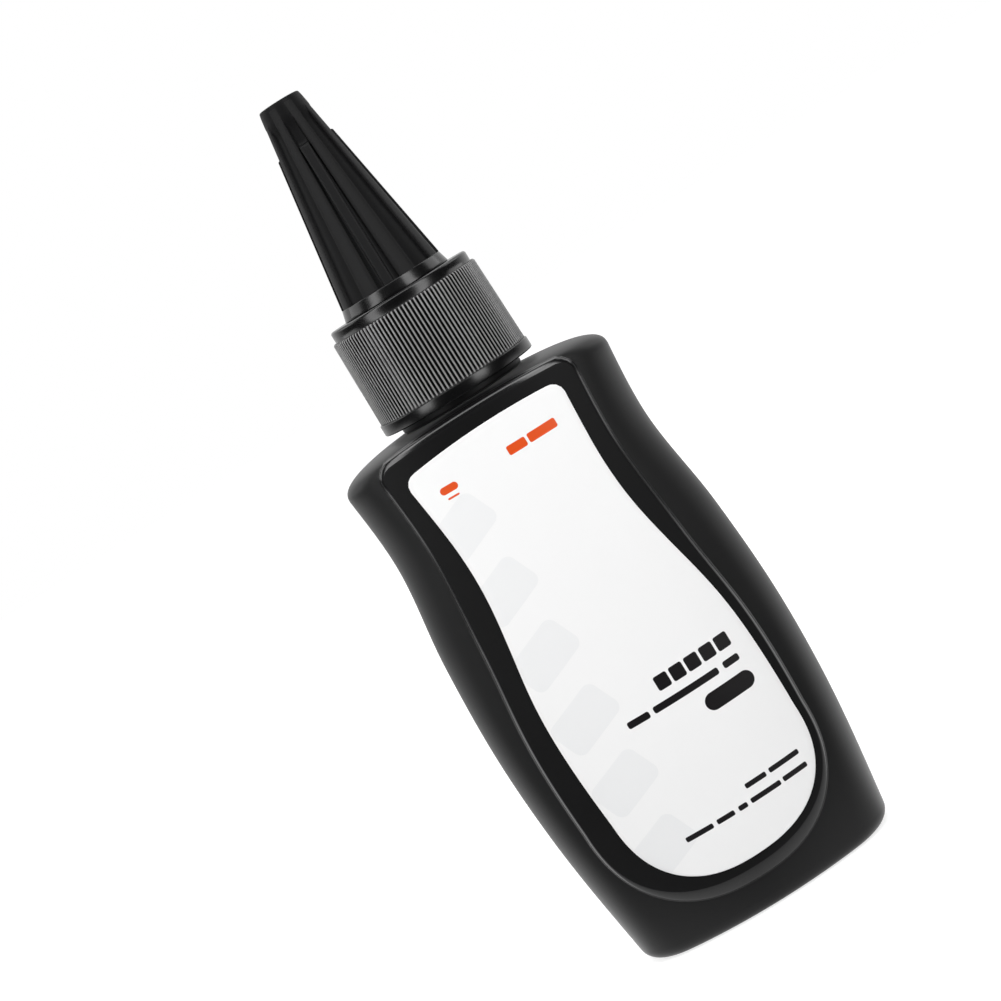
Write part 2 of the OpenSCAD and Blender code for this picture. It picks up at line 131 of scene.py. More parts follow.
@dataclass(frozen=True)
class Thread:
    """A right-hand screw ridge of one lead, in millimetres.

    The ridge is centred where z = start + pitch (turns), its flanks are smooth
    steps, and it runs out over run_out of a turn at each end.
    """

    start: float
    half_w: float
    flank: float
    depth: float = 0.72
    pitch: float = 3.2
    turns: float = 2.0
    run_out: float = 0.09

    @property
    def end(self) -> float:
        """Height of the ridge's upper end."""
        return self.start + self.pitch * self.turns

    def ridge(self, z: np.ndarray, turn: np.ndarray) -> np.ndarray:
        """How far the ridge stands out.

        Args:
            z: Heights, rows x 1.
            turn: Angles, 1 x columns.

        Returns:
            Heights of the ridge, rows x columns.
        """
        run = (z - self.start) / self.pitch - turn / TURN
        whole = np.round(run)
        away = np.abs(run - whole) * self.pitch
        at = whole + turn / TURN
        ends = smooth(at / self.run_out) * smooth((self.turns - at) / self.run_out)
        return self.depth * smooth((self.half_w - away) / self.flank) * ends


@dataclass
class MeshBuilder:
    """Collects grids of points in millimetres and closes them into one mesh."""

    points: list[np.ndarray] = field(default_factory=list)
    faces: list[np.ndarray] = field(default_factory=list)
    slots: list[np.ndarray] = field(default_factory=list)
    count: int = 0

    def put_points(self, points: np.ndarray) -> np.ndarray:
        """Adds rows of points.

        Args:
            points: Array of rows x columns x 3.

        Returns:
            The indices of the points, rows x columns.
        """
        rows, columns = points.shape[:2]
        index = self.count + np.arange(rows * columns).reshape(rows, columns)
        self.points.append(points.reshape(-1, 3))
        self.count += rows * columns
        return index

    def put_faces(self, faces: np.ndarray, slot: int | np.ndarray = 0) -> None:
        """Adds faces that all have the same number of corners."""
        self.faces.append(faces.astype(np.int32))
        self.slots.append(np.broadcast_to(np.asarray(slot, np.int32), (len(faces),)).copy())

    def grid(self, points: np.ndarray, slot: int | list[int] | np.ndarray = 0) -> np.ndarray:
        """Adds closed rings of points with a quad between each four neighbours.

        Rows run outwards and up, columns anticlockwise, so that faces point outwards.

        Args:
            points: Array of rows x columns x 3.
            slot: Material slot, or one for each space between two rows, or for each quad.

        Returns:
            The indices of the points, rows x columns.
        """
        index = self.put_points(points)
        right = np.roll(index, -1, axis=1)
        quads = np.stack([index[:-1], right[:-1], right[1:], index[1:]], axis=2)
        slot = np.asarray(slot, np.int32)
        slot = slot[:, None] if slot.ndim == 1 else slot
        self.put_faces(quads.reshape(-1, 4), np.broadcast_to(slot, quads.shape[:2]).reshape(-1))
        return index

    def cap(self, ring: np.ndarray, up: bool) -> None:
        """Closes a ring with one flat face that looks up or down."""
        self.put_faces((ring if up else ring[::-1])[None, :])

    def closed_grid(self, points: np.ndarray) -> None:
        """Adds closed rings of points, and a flat face over the first and the last.

        Args:
            points: Array of rings x columns x 3, from the lowest or innermost up.
        """
        index = self.grid(points)
        self.cap(index[0], up=False)
        self.cap(index[-1], up=True)

    def bridge(self, first: np.ndarray, second: np.ndarray, slot: int = 0) -> None:
        """Joins two rings of which one has a whole number of times the other's points.

        The faces look as those of a grid would that has first as its lower row.

        Args:
            first: Indices of the one ring's points.
            second: Indices of the other's.
            slot: Material slot of the faces.
        """
        ratio = max(len(first), len(second)) // min(len(first), len(second))
        few = min(len(first), len(second))
        steps = np.arange(few)
        if len(first) >= len(second):
            low = first[(steps[:, None] * ratio + np.arange(ratio + 1)) % len(first)]
            high = second[np.stack([(steps + 1) % few, steps], axis=1)]
        else:
            low = first[np.stack([steps, (steps + 1) % few], axis=1)]
            high = second[(steps[:, None] * ratio + np.arange(ratio, -1, -1)) % len(second)]
        self.put_faces(np.concatenate([low, high], axis=1), slot)

    def lathe(self, profile: Profile, columns: int) -> np.ndarray:
        """Turns a profile of radius and height pairs round the axis; gives the grid's indices."""
        radius, height = np.array(profile, float).T
        return self.grid(around(radius[:, None], angles(columns), height[:, None]))

    def fill(self, ring: np.ndarray, points: np.ndarray, slot: int = 0, flip: bool = False) -> None:
        """Fills a ring that is even left to right with a grid that has the ring as its border.

        Args:
            ring: Indices of the ring's points, anticlockwise from its lowest.
            points: Rows of points from the left side to the right, the lowest first. Those
                at the border give way to the ring's own.
            slot: Material slot of the faces.
            flip: True turns the faces round.
        """
        half = len(ring) // 2
        index = np.empty(points.shape[:2], int)
        index[1:-1, 1:-1] = self.put_points(points[1:-1, 1:-1])
        index[:, -1] = ring[: half + 1]
        index[:, 0] = np.concatenate([ring[:1], ring[:half - 1:-1]])
        index[0, :], index[-1, :] = ring[0], ring[half]
        quads = np.stack([index[:-1, :-1], index[:-1, 1:], index[1:, 1:], index[1:, :-1]], axis=2)
        quads = quads[1:-1].reshape(-1, 4)
        tip = np.stack([index[0, :-1], index[1, 1:], index[1, :-1]], axis=1)
        end = np.stack([index[-2, :-1], index[-2, 1:], index[-1, 1:]], axis=1)
        ends = np.concatenate([tip, end])
        self.put_faces(quads[:, ::-1] if flip else quads, slot)
        self.put_faces(ends[:, ::-1] if flip else ends, slot)

    def build(self, name: str, materials: list[bpy.types.Material], sharp: float = 40.0,
              crest: np.ndarray | None = None) -> bpy.types.Object:
        """Makes the object, with its place in its mesh.

        Args:
            name: Name of the piece.
            materials: One material for each slot in use.
            sharp: Edges steeper than this angle, in degrees, stay crisp.
            crest: How much the first points lie on a rib crest, which gets a painted highlight, 0 to 1;
                the rest don't.

        Returns:
            The new object, at the origin.
        """
        mesh = bpy.data.meshes.new(name)
        coordinates = np.concatenate(self.points) * MM
        corners = np.concatenate([f.reshape(-1) for f in self.faces])
        sizes = np.concatenate([np.full(len(f), f.shape[1]) for f in self.faces])
        starts = np.concatenate([[0], np.cumsum(sizes)[:-1]]).astype(np.int32)
        mesh.vertices.add(len(coordinates))
        mesh.vertices.foreach_set("co", coordinates.astype(np.float32).reshape(-1))
        mesh.loops.add(len(corners))
        mesh.loops.foreach_set("vertex_index", corners)
        mesh.polygons.add(len(sizes))
        mesh.polygons.foreach_set("loop_start", starts)
        mesh.polygons.foreach_set("material_index", np.concatenate(self.slots))
        mesh.polygons.foreach_set("use_smooth", np.ones(len(sizes), bool))
        mesh.update(calc_edges=True)
        mesh.validate()
        mesh.set_sharp_from_angle(angle=math.radians(sharp))
        if crest is not None:
            values = np.zeros(len(coordinates), np.float32)
            values[: crest.size] = crest.reshape(-1)
            mesh.attributes.new("crest", "FLOAT", "POINT").data.foreach_set("value", values)
        for material in materials:
            mesh.materials.append(material)
        piece = bpy.data.objects.new(name, mesh)
        bpy.context.scene.collection.objects.link(piece)
        return piece


# ---------------------------------------------------------------- finishes


def grey(level: float) -> tuple[float, float, float, float]:
    """An even colour of one level."""
    return (level, level, level, 1.0)


class NodeKit:
    """Small helpers that add nodes and links to one node tree."""

    def __init__(self, tree: bpy.types.NodeTree) -> None:
        """Keeps the tree that the nodes go into."""
        self.tree = tree

    def add(self, kind: str, **settings: object) -> bpy.types.Node:
        """Adds a node.

        Args:
            kind: The node's type.
            **settings: Values of its properties.

        Returns:
            The node.
        """
        node = self.tree.nodes.new(kind)
        for key, value in settings.items():
            setattr(node, key, value)
        return node

    def link(self, source: Socket, target: Socket) -> None:
        """Joins an output to an input."""
        self.tree.links.new(source, target)

    def feed(self, socket: Socket, value: object) -> None:
        """Links an input to an output, or sets its plain value.

        Args:
            socket: The input.
            value: An output of another node, or a value.
        """
        if isinstance(value, Socket):
            self.link(value, socket)
        else:
            socket.default_value = value

    def math(self, operation: str, *values: object) -> Socket:
        """One Math node.

        Args:
            operation: What it does.
            *values: Its inputs in order, outputs of other nodes or numbers.

        Returns:
            Its output.
        """
        node = self.add("ShaderNodeMath", operation=operation)
        for socket, value in zip(node.inputs, values):
            self.feed(socket, value)
        return node.outputs[0]

    def length(self, vector: Socket) -> Socket:
        """Length of a vector.

        Args:
            vector: The vector.

        Returns:
            Its length.
        """
        node = self.add("ShaderNodeVectorMath", operation="LENGTH")
        self.link(vector, node.inputs[0])
        return node.outputs["Value"]

    def ramp(self, value: Socket, low: float, high: float, start: float = 0.0,
             end: float = 1.0) -> Socket:
        """Maps low..high to start..end by a smooth step, held at the ends.

        Args:
            value: What is mapped.
            low: The value that gives start.
            high: The value that gives end.
            start: Result at and below low.
            end: Result at and above high.

        Returns:
            The mapped value.
        """
        node = self.add("ShaderNodeMapRange", interpolation_type="SMOOTHSTEP")
        for key, item in (("Value", value), ("From Min", low), ("From Max", high),
                          ("To Min", start), ("To Max", end)):
            self.feed(node.inputs[key], item)
        return node.outputs[0]

    def mix(self, factor: Socket, first: object, second: object) -> Socket:
        """Mixes two colours.

        Args:
            factor: Share of the second colour.
            first: The first colour, or an output that gives it.
            second: The second one.

        Returns:
            The mixed colour.
        """
        node = self.add("ShaderNodeMix", data_type="RGBA")
        for index, value in ((0, factor), (6, first), (7, second)):
            self.feed(node.inputs[index], value)
        return node.outputs[2]

    def noise(self, vector: Socket, scale: Socket, detail: float, roughness: float = 0.5) -> Socket:
        """A noise texture.

        Args:
            vector: Where it is read.
            scale: Its grains per metre.
            detail: How many finer layers it has.
            roughness: How strong the finer layers are.

        Returns:
            Its value.
        """
        node = self.add("ShaderNodeTexNoise")
        for key, value in (("Vector", vector), ("Scale", scale), ("Detail", detail),
                           ("Roughness", roughness)):
            self.feed(node.inputs[key], value)
        return node.outputs["Fac"]

    def group(self, tree: bpy.types.NodeTree, **values: object) -> bpy.types.Node:
        """Places a node group.

        Args:
            tree: The group.
            **values: Its inputs by name, with _ for a space.

        Returns:
            The group's node.
        """
        node = self.add("ShaderNodeGroup", node_tree=tree)
        for key, value in values.items():
            self.feed(node.inputs[key.replace("_", " ")], value)
        return node

    def relief(self, shader: bpy.types.Node, height: Socket, depth: float) -> None:
        """Bumps a shader's surface.

        Args:
            shader: The shader.
            height: The relief, as a share of its depth.
            depth: Its depth in metres.
        """
        bump = self.add("ShaderNodeBump")
        bump.inputs["Strength"].default_value = 1.0
        bump.inputs["Distance"].default_value = depth
        self.link(height, bump.inputs["Height"])
        self.link(bump.outputs["Normal"], shader.inputs["Normal"])

    def shade(self, kind: str, key: str, value: object) -> Socket:
        """Adds a plain shader.

        Args:
            kind: The node's type.
            key: Name of the input that is set.
            value: Its value, or an output that gives it.

        Returns:
            The shader's output.
        """
        node = self.add(kind)
        self.feed(node.inputs[key], value)
        return node.outputs[0]

    def join(self, kind: str, *parts: Socket) -> Socket:
        """Adds a node that joins shaders.

        Args:
            kind: The node's type.
            *parts: Its inputs in order.

        Returns:
            Its output.
        """
        node = self.add(kind)
        for socket, part in zip(node.inputs, parts):
            self.link(part, socket)
        return node.outputs[0]


def new_group(name: str, numbers: dict[str, float], results: tuple[str, ...]
              ) -> tuple[NodeKit, bpy.types.NodeOutputs, bpy.types.NodeInputs]:
    """Starts a shader node group that works on a position.

    Args:
        name: Name of the group.
        numbers: Default values of the numbers that it takes besides.
        results: Names of the values that it puts out.

    Returns:
        Its helper, the sockets that it is given and the sockets that it fills.
    """
    tree = bpy.data.node_groups.new(name, "ShaderNodeTree")
    tree.interface.new_socket(name="Position", in_out="INPUT", socket_type="NodeSocketVector")
    for key, value in numbers.items():
        socket = tree.interface.new_socket(name=key, in_out="INPUT", socket_type="NodeSocketFloat")
        socket.default_value = value
    for key in results:
        tree.interface.new_socket(name=key, in_out="OUTPUT", socket_type="NodeSocketFloat")
    kit = NodeKit(tree)
    return kit, kit.add("NodeGroupInput").outputs, kit.add("NodeGroupOutput").inputs


def start_material(name: str) -> tuple[bpy.types.Material, NodeKit, bpy.types.Node, Socket]:
    """Starts a node material.

    Args:
        name: Name of the material.

    Returns:
        The material, its helper, its Principled shader and the object's coordinates.
    """
    material = bpy.data.materials.new(name)
    material.use_nodes = True
    kit = NodeKit(material.node_tree)
    position = kit.add("ShaderNodeTexCoord").outputs["Object"]
    return material, kit, material.node_tree.nodes["Principled BSDF"], position


class Effects:
    """The node groups that several finishes share."""

    def __init__(self) -> None:
        """Builds each group once."""
        self.skin = self._skin()
        self.seam = self._seam()
        self.bar = self._bar()

    def _skin(self) -> bpy.types.NodeTree:
        """Moulded skin: fine grain for the bump and a slow cloud for roughness and tone.

        The height is 0.6 of the fine grain and 0.4 of a wave about eight times as
        long, and the roughness swings with the cloud about its middle.

        Returns:
            The group.
        """
        kit, given, out = new_group(
            "Moulded skin",
            {"Grain per metre": 4000.0, "Cloud per metre": 60.0, "Roughness": 0.4, "Unevenness": 0.06},
            ("Height", "Roughness", "Cloud"),
        )
        position, grain = given["Position"], given["Grain per metre"]
        fine = kit.noise(position, grain, 2.0, 0.6)
        cloud = kit.noise(position, given["Cloud per metre"], 3.0, 0.55)
        wave = kit.noise(position, kit.math("MULTIPLY", grain, 0.12), 1.0)
        height = kit.math("ADD", kit.math("MULTIPLY", fine, 0.6), kit.math("MULTIPLY", wave, 0.4))
        swing = kit.math("MULTIPLY", kit.math("SUBTRACT", cloud, 0.5), given["Unevenness"])
        kit.link(height, out["Height"])
        kit.link(kit.math("ADD", given["Roughness"], swing), out["Roughness"])
        kit.link(cloud, out["Cloud"])
        return kit.tree

    def _seam(self) -> bpy.types.NodeTree:
        """Parting line: a thin raised line where the plane y = 0 cuts the surface.

        The mask falls by a smooth step over the line's half width, and ends at a height.

        Returns:
            The group.
        """
        kit, given, out = new_group("Parting line", {"Half width": 0.00012, "Top": 0.1}, ("Mask",))
        split = kit.add("ShaderNodeSeparateXYZ")
        kit.link(given["Position"], split.inputs[0])
        away = kit.math("DIVIDE", kit.math("ABSOLUTE", split.outputs[1]), given["Half width"])
        line = kit.ramp(away, 0.2, 1.0, 1.0, 0.0)
        below = kit.math("LESS_THAN", split.outputs[2], given["Top"])
        kit.link(kit.math("MULTIPLY", line, below), out["Mask"])
        return kit.tree

    def _bar(self) -> bpy.types.NodeTree:
        """Printed bar: 1 inside a rounded rectangle on the front, by its distance field, else 0.

        The distance is that to the rectangle less its corner's radius, and the edge
        is a smooth step of 0.06 mm.

        Returns:
            The group, which takes its sizes in millimetres.
        """
        kit, given, out = new_group(
            "Printed bar",
            {"Centre X": 0.0, "Centre Z": 0.0, "Half length": 1.0, "Half height": 1.0, "Corner": 0.1,
             "Tilt": 0.0},
            ("Mask",),
        )
        split = kit.add("ShaderNodeSeparateXYZ")
        kit.link(given["Position"], split.inputs[0])
        x, z = (kit.math("SUBTRACT", kit.math("MULTIPLY", split.outputs[axis], 1 / MM), given[key])
                for axis, key in ((0, "Centre X"), (2, "Centre Z")))
        cosine, sine = kit.math("COSINE", given["Tilt"]), kit.math("SINE", given["Tilt"])
        along = kit.math("ADD", kit.math("MULTIPLY", x, cosine), kit.math("MULTIPLY", z, sine))
        across = kit.math("SUBTRACT", kit.math("MULTIPLY", z, cosine), kit.math("MULTIPLY", x, sine))

        def over_squared(value: Socket, half: str) -> Socket:
            """Square of how far a place lies beyond the rectangle between the corners' middles.

            Args:
                value: The place along one side of the bar.
                half: Name of the input that gives half of that side.

            Returns:
                The square.
            """
            inner = kit.math("SUBTRACT", given[half], given["Corner"])
            over = kit.math("MAXIMUM", kit.math("SUBTRACT", kit.math("ABSOLUTE", value), inner), 0.0)
            return kit.math("MULTIPLY", over, over)

        far = kit.math("SQRT", kit.math("ADD", over_squared(along, "Half length"),
                                        over_squared(across, "Half height")))
        beyond = kit.math("SUBTRACT", far, given["Corner"])
        kit.link(kit.ramp(beyond, -0.03, 0.03, 1.0, 0.0), out["Mask"])
        return kit.tree


@dataclass(frozen=True)
class PlasticFinish:
    """A moulded plastic surface.

    The grain is in grains a metre and its depth in metres, tone is how far the colour
    swings, the parting line ends at seam_top metres, and a finish with ribs may paint
    their crests a pale grey: a painted highlight that stands for the light stripes of lit ribs.
    """

    name: str
    colour: Colour
    roughness: float
    specular: float = 0.5
    unevenness: float = 0.06
    grain: float = 4000.0
    grain_depth: float = 0.000004
    tone: float = 0.12
    seam_top: float = 0.0
    seam_height: float = 12.0
    sheen: float = 0.0
    sheen_roughness: float = 0.38
    crest_highlight: float | None = None
    crest_highlight_swing: float = 0.08
    crest_roughness: float = 0.2

    def make(self, effects: Effects) -> bpy.types.Material:
        """Makes the node material.

        Args:
            effects: The shared node groups.

        Returns:
            The material.
        """
        material, kit, shader, position = start_material(self.name)
        skin = kit.group(effects.skin, Position=position, Grain_per_metre=self.grain,
                         Roughness=self.roughness, Unevenness=self.unevenness)
        cloud, roughness, height = (skin.outputs[key] for key in ("Cloud", "Roughness", "Height"))
        dark, light = (tuple(c * (1 + swing) for c in self.colour) + (1.0,)
                       for swing in (-self.tone, self.tone))
        colour = kit.mix(cloud, dark, light)
        # Rib crests are painted a pale grey: a painted highlight that stands for the bright stripes of
        # lit ribs.
        if self.crest_highlight is not None:
            crest = kit.add("ShaderNodeAttribute", attribute_name="crest").outputs["Fac"]
            painted_crest_highlight = kit.ramp(cloud, 0.3, 0.7, self.crest_highlight * (1 - self.crest_highlight_swing),
                            self.crest_highlight * (1 + self.crest_highlight_swing))
            colour = kit.mix(crest, colour, painted_crest_highlight)
            roughness = kit.math("ADD", roughness, kit.math("MULTIPLY", crest, self.crest_roughness))
        if self.seam_top:
            seam = kit.group(effects.seam, Position=position, Top=self.seam_top).outputs["Mask"]
            height = kit.math("ADD", height, kit.math("MULTIPLY", seam, self.seam_height))
        kit.link(colour, shader.inputs["Base Color"])
        kit.link(roughness, shader.inputs["Roughness"])
        shader.inputs["Specular IOR Level"].default_value = self.specular
        shader.inputs["Sheen Weight"].default_value = self.sheen
        shader.inputs["Sheen Roughness"].default_value = self.sheen_roughness
        kit.relief(shader, height, self.grain_depth)
        return material


BLOWN_WALL = PlasticFinish(
    "blown wall", (0.0048, 0.0048, 0.0051), 0.46, specular=0.27, unevenness=0.08, grain=2600.0,
    grain_depth=0.000006, seam_top=0.0878, sheen=0.18)
BLOWN_PANEL = PlasticFinish(
    "blown panel", (0.0062, 0.0062, 0.0065), 0.46, specular=0.12, grain=2600.0, grain_depth=0.000005)
PANEL_EDGE = PlasticFinish(
    "polished panel edge", (0.0066, 0.0066, 0.0069), 0.18, specular=0.6, grain=2600.0,
    grain_depth=0.000002)
SEAL_FOAM = PlasticFinish(
    "seal foam", (0.62, 0.6, 0.54), 0.75, specular=0.3, unevenness=0.1, grain=3800.0,
    grain_depth=0.00003, tone=0.06)
# The cap's ribs get a painted highlight on their crests, a pale grey over the black.
CAP_PLASTIC = PlasticFinish(
    "cap plastic", (0.0032, 0.0032, 0.0034), 0.22, unevenness=0.05, grain=5200.0,
    grain_depth=0.0000006, crest_highlight=0.25)
SPOUT_RING = replace(CAP_PLASTIC, name="spout ring", crest_highlight=None)
SPOUT_LAND = PlasticFinish(
    "spout land", (0.011, 0.011, 0.0113), 0.5, specular=0.12, unevenness=0.08, grain=5200.0,
    grain_depth=0.000003)
# The grooves are a darker grey than the lands: painted shade in the recesses.
SPOUT_GROOVE = PlasticFinish(
    "spout groove", (0.006, 0.006, 0.0063), 0.45, specular=0.1, grain=5200.0, grain_depth=0.000002)


@dataclass(frozen=True)
class PrintBar:
    """A plain printed bar on the label: its middle, size and corner in millimetres."""

    x: float
    z: float
    length: float
    height: float
    corner: float
    slant: float = 0.0

    @classmethod
    def row(cls, z: float, height: float, corner: float, *spots: tuple[float, float]
            ) -> "list[PrintBar]":
        """Bars of one height side by side.

        Args:
            z: Height of their middles.
            height: Their height.
            corner: Radius of their corners.
            *spots: Middle and length of each.

        Returns:
            The bars.
        """
        return [cls(x, z, length, height, corner) for x, length in spots]


@dataclass(frozen=True)
class FilmFinish:
    """White label film with plain printed bars in three inks, turned by tilt as it is stuck on."""

    name: str = "label film"
    white: Colour = (0.93, 0.93, 0.93)
    tilt: float = math.radians(-0.45)
    roughness: float = 0.42
    unevenness: float = 0.1
    specular: float = 0.4
    grain: float = 1500.0
    grain_depth: float = 0.000004
    ink_gloss: float = 0.06

    def bars(self) -> dict[Ink, list[PrintBar]]:
        """The plain bars of each ink, which lie over each other in this order.

        Returns:
            The bars by their ink.
        """
        pale = [PrintBar(-9.6, 72.5 - 11.2 * k, 10.5 - 0.5 * abs(k - 2.4), 6.4, 1.4, 0.42)
                for k in range(6)]
        orange = [PrintBar(-8.4, 78.55, 2.9, 1.15, 0.57), PrintBar(-8.4, 77.2, 1.9, 0.3, 0.14)]
        orange += PrintBar.row(78.65, 1.45, 0.3, (3.3, 3.1), (7.6, 4.7))
        black = [PrintBar(10.78, 31.3, 8.33, 2.75, 1.37)]
        black += PrintBar.row(38.0, 2.3, 0.35, *((3.1 + 2.62 * k, 2.2) for k in range(5)))
        black += PrintBar.row(34.85, 1.1, 0.35, (-2.9, 3.7), (5.3, 11.2), (13.2, 2.7))
        black += PrintBar.row(18.0, 0.8, 0.25, (7.0, 3.6), (12.0, 5.2))
        black += PrintBar.row(15.7, 0.8, 0.25, (-4.1, 4.6), (0.4, 3.0), (3.4, 1.5), (7.4, 5.2),
                              (12.6, 4.2))
        return {Ink.PALE: pale, Ink.ORANGE: orange, Ink.BLACK: black}

    def make(self, effects: Effects) -> bpy.types.Material:
        """Makes the film's material from the shared bar group.

        Args:
            effects: The shared node groups.

        Returns:
            The material.
        """
        material, kit, shader, position = start_material(self.name)

        def either(mask: Socket | None, other: Socket) -> Socket:
            """The larger of two masks, of which the first may be missing."""
            return other if mask is None else kit.math("MAXIMUM", mask, other)

        colour: object = (*self.white, 1.0)
        cover: Socket | None = None
        for ink, bars in self.bars().items():
            mask: Socket | None = None
            for bar in bars:
                spot = kit.group(effects.bar, Position=position, Centre_X=bar.x, Centre_Z=bar.z,
                                 Half_length=bar.length / 2, Half_height=bar.height / 2,
                                 Corner=bar.corner, Tilt=self.tilt + bar.slant)
                mask = either(mask, spot.outputs["Mask"])
            colour = kit.mix(mask, colour, (*ink.value, 1.0))
            cover = either(cover, mask)
        skin = kit.group(effects.skin, Position=position, Grain_per_metre=self.grain,
                         Roughness=self.roughness, Unevenness=self.unevenness)
        roughness = kit.math("SUBTRACT", skin.outputs["Roughness"],
                             kit.math("MULTIPLY", cover, self.ink_gloss))
        kit.link(colour, shader.inputs["Base Color"])
        kit.link(roughness, shader.inputs["Roughness"])
        shader.inputs["Specular IOR Level"].default_value = self.specular
        kit.relief(shader, skin.outputs["Height"], self.grain_depth)
        return material


# ---------------------------------------------------------------- bottle


@dataclass
class BodyForm:
    """Outline and section of the blown body, in millimetres."""

    body_h: float = 87.9
    shoulder_drop: float = 4.5
    shoulder_power: float = 2.65
    hip_w: float = 49.5
    hip_z: float = 38.0
    shoulder_in: float = 2.05
    waist_in: float = 2.775
    waist_drop: float = 15.4
    slope_in: float = 0.825
    slope_drop: float = 32.9
    flare_in: float = 0.5
    flare_z: float = 24.0
    foot_in: float = 2.825
    foot_z: float = 3.8
    depth: float = 24.0
    face_r: float = 42.0
    wall_t: float = 1.0
    heel_r: float = 2.1
    rim_w: float = 2.2
    pushup_w: float = 2.2
    pushup_h: float = 1.4
    middle_d: float = 0.35
    root_r: float = 10.07

    def __post_init__(self) -> None:
        """Works out the shoulder's height and the slopes of the outline's curve."""
        self.shoulder_w = self.hip_w - 2 * self.shoulder_in
        p = self.shoulder_power
        rise = self.shoulder_drop * (1 - (self.root_r / (self.shoulder_w / 2)) ** p) ** (1 / p)
        self.shoulder_z = self.body_h - rise
        self.z = np.array([self.foot_z, self.flare_z, self.hip_z, self.body_h - self.slope_drop,
                           self.body_h - self.waist_drop, self.shoulder_z])
        drawn = np.array([self.foot_in, self.flare_in, 0.0, self.slope_in, self.waist_in,
                          self.shoulder_in])
        self.w = self.hip_w - 2 * drawn
        span, rate = np.diff(self.z), np.diff(self.w) / np.diff(self.z)
        inner = (rate[:-1] * span[1:] + rate[1:] * span[:-1]) / (span[:-1] + span[1:])
        first = rate[0] + 0.5 * (rate[0] - inner[0])
        last = rate[-1] + 0.5 * (rate[-1] - inner[-1])
        self.slope = np.concatenate([[first], inner, [last]])

    def width(self, z: np.ndarray) -> np.ndarray:
        """Width of the body: a cubic Hermite curve through the named places.

        With t the share of the way from one place to the next, the curve is
        (1 + 2t)(1 - t)^2 w0 + t (1 - t)^2 h s0 + t^2 (3 - 2t) w1 + t^2 (t - 1) h s1,
        and a straight line below the lowest place.

        Args:
            z: Heights.

        Returns:
            Widths.
        """
        z = np.asarray(z, float)
        i = np.clip(np.searchsorted(self.z, z, side="right") - 1, 0, len(self.z) - 2)
        span = self.z[i + 1] - self.z[i]
        t = (z - self.z[i]) / span
        curve = ((1 + 2 * t) * (1 - t) ** 2 * self.w[i] + t * (1 - t) ** 2 * span * self.slope[i]
                 + t * t * (3 - 2 * t) * self.w[i + 1] + t * t * (t - 1) * span * self.slope[i + 1])
        return np.where(z < self.foot_z, self.w[0] + (z - self.foot_z) * self.slope[0], curve)

    def shoulder(self, z: np.ndarray, inset: float, end_r: float, top_z: float
                 ) -> tuple[np.ndarray, np.ndarray]:
        """Half width and half depth over the shoulder.

        The half width follows a squared ellipse, a0 (1 - (k z / h)^p)^(1/p), from the
        wall to the round end, and the depth closes to it by a quarter circle.

        Args:
            z: Heights above the shoulder's start.
            inset: How far the surface lies inside the outer one.
            end_r: Radius of the round end.
            top_z: Height of that end.

        Returns:
            Half widths and half depths.
        """
        p = self.shoulder_power
        a0, b0, h = self.shoulder_w / 2 - inset, self.depth / 2 - inset, top_z - self.shoulder_z
        k = (1 - (end_r / a0) ** p) ** (1 / p)
        a = a0 * np.clip(1 - (k * np.clip(z, 0, h) / h) ** p, 0, 1) ** (1 / p)
        e = b0 - end_r
        f = np.clip((z - (h - min(e, h))) / min(e, h), 0, 1)
        b = b0 - e * (1 - np.sqrt(1 - f * f))
        a = np.maximum(a, end_r)
        return a, np.clip(b, end_r, a)

    @staticmethod
    def end_radius(a: np.ndarray, b: np.ndarray, r: np.ndarray | float) -> np.ndarray:
        """Radius of the tight arcs: (r^2 - (r - b)^2 - a^2) / (2 (r - a))."""
        return (r * r - (r - b) ** 2 - a * a) / (2 * (r - a))

    def section(self, a: np.ndarray, b: np.ndarray, r: np.ndarray, z: np.ndarray,
                columns: int) -> np.ndarray:
        """Rings of the lens-shaped section: two wide arcs of radius r joined by two tight ones.

        A ray in the direction (a cos t, b sin t) meets either the wide arc, centred
        r - b behind the axis, or the tight arc, centred a - s beside it.

        Args:
            a: Half widths, one for each ring.
            b: Half depths.
            r: Radii of the wide arcs.
            z: Heights.
            columns: Number of points round each ring.

        Returns:
            Points, rings x columns x 3.
        """
        a, b, r, z = (np.asarray(v, float)[:, None] for v in (a, b, r, z))
        t = angles(columns)[None, :]
        x, y = a * np.cos(t), b * np.sin(t)
        d = np.hypot(x, y)
        u, v = np.abs(x) / d, np.abs(y) / d
        s = self.end_radius(a, b, r)
        c, e = r - b, a - s
        wide = -c * v + np.sqrt(np.maximum(c * c * v * v + r * r - c * c, 0))
        tight = e * u + np.sqrt(np.maximum(e * e * u * u + s * s - e * e, 0))
        reach = np.where(v * e * r > u * c * s, wide, tight)
        return np.stack([reach * x / d, reach * y / d, np.broadcast_to(z, x.shape)], axis=2)

    def wall_depth(self, x: np.ndarray, z: np.ndarray) -> np.ndarray:
        """Distance of the front wall from the plane y = 0.

        It is sqrt(r^2 - x^2) - (r - b) on the wide arc, and sqrt(s^2 - (x - e)^2)
        beyond the point where the tight one takes over.

        Args:
            x: Distances to the right of the axis.
            z: Heights.

        Returns:
            Distances.
        """
        over = np.maximum(z - self.shoulder_z, 0)
        a_high, b_high = self.shoulder(over, 0.0, self.root_r, self.body_h)
        high = z > self.shoulder_z
        a = np.where(high, a_high, self.width(z) / 2)
        b = np.where(high, b_high, self.depth / 2)
        r = self.face_r
        s = self.end_radius(a, b, r)
        c, e = r - b, a - s
        joint = r * e / np.hypot(e, c)
        ax = np.abs(x)
        wide = np.sqrt(np.maximum(r * r - ax * ax, 0)) - c
        tight = np.sqrt(np.maximum(s * s - (ax - e) ** 2, 0))
        return np.where(ax < joint, wide, tight)


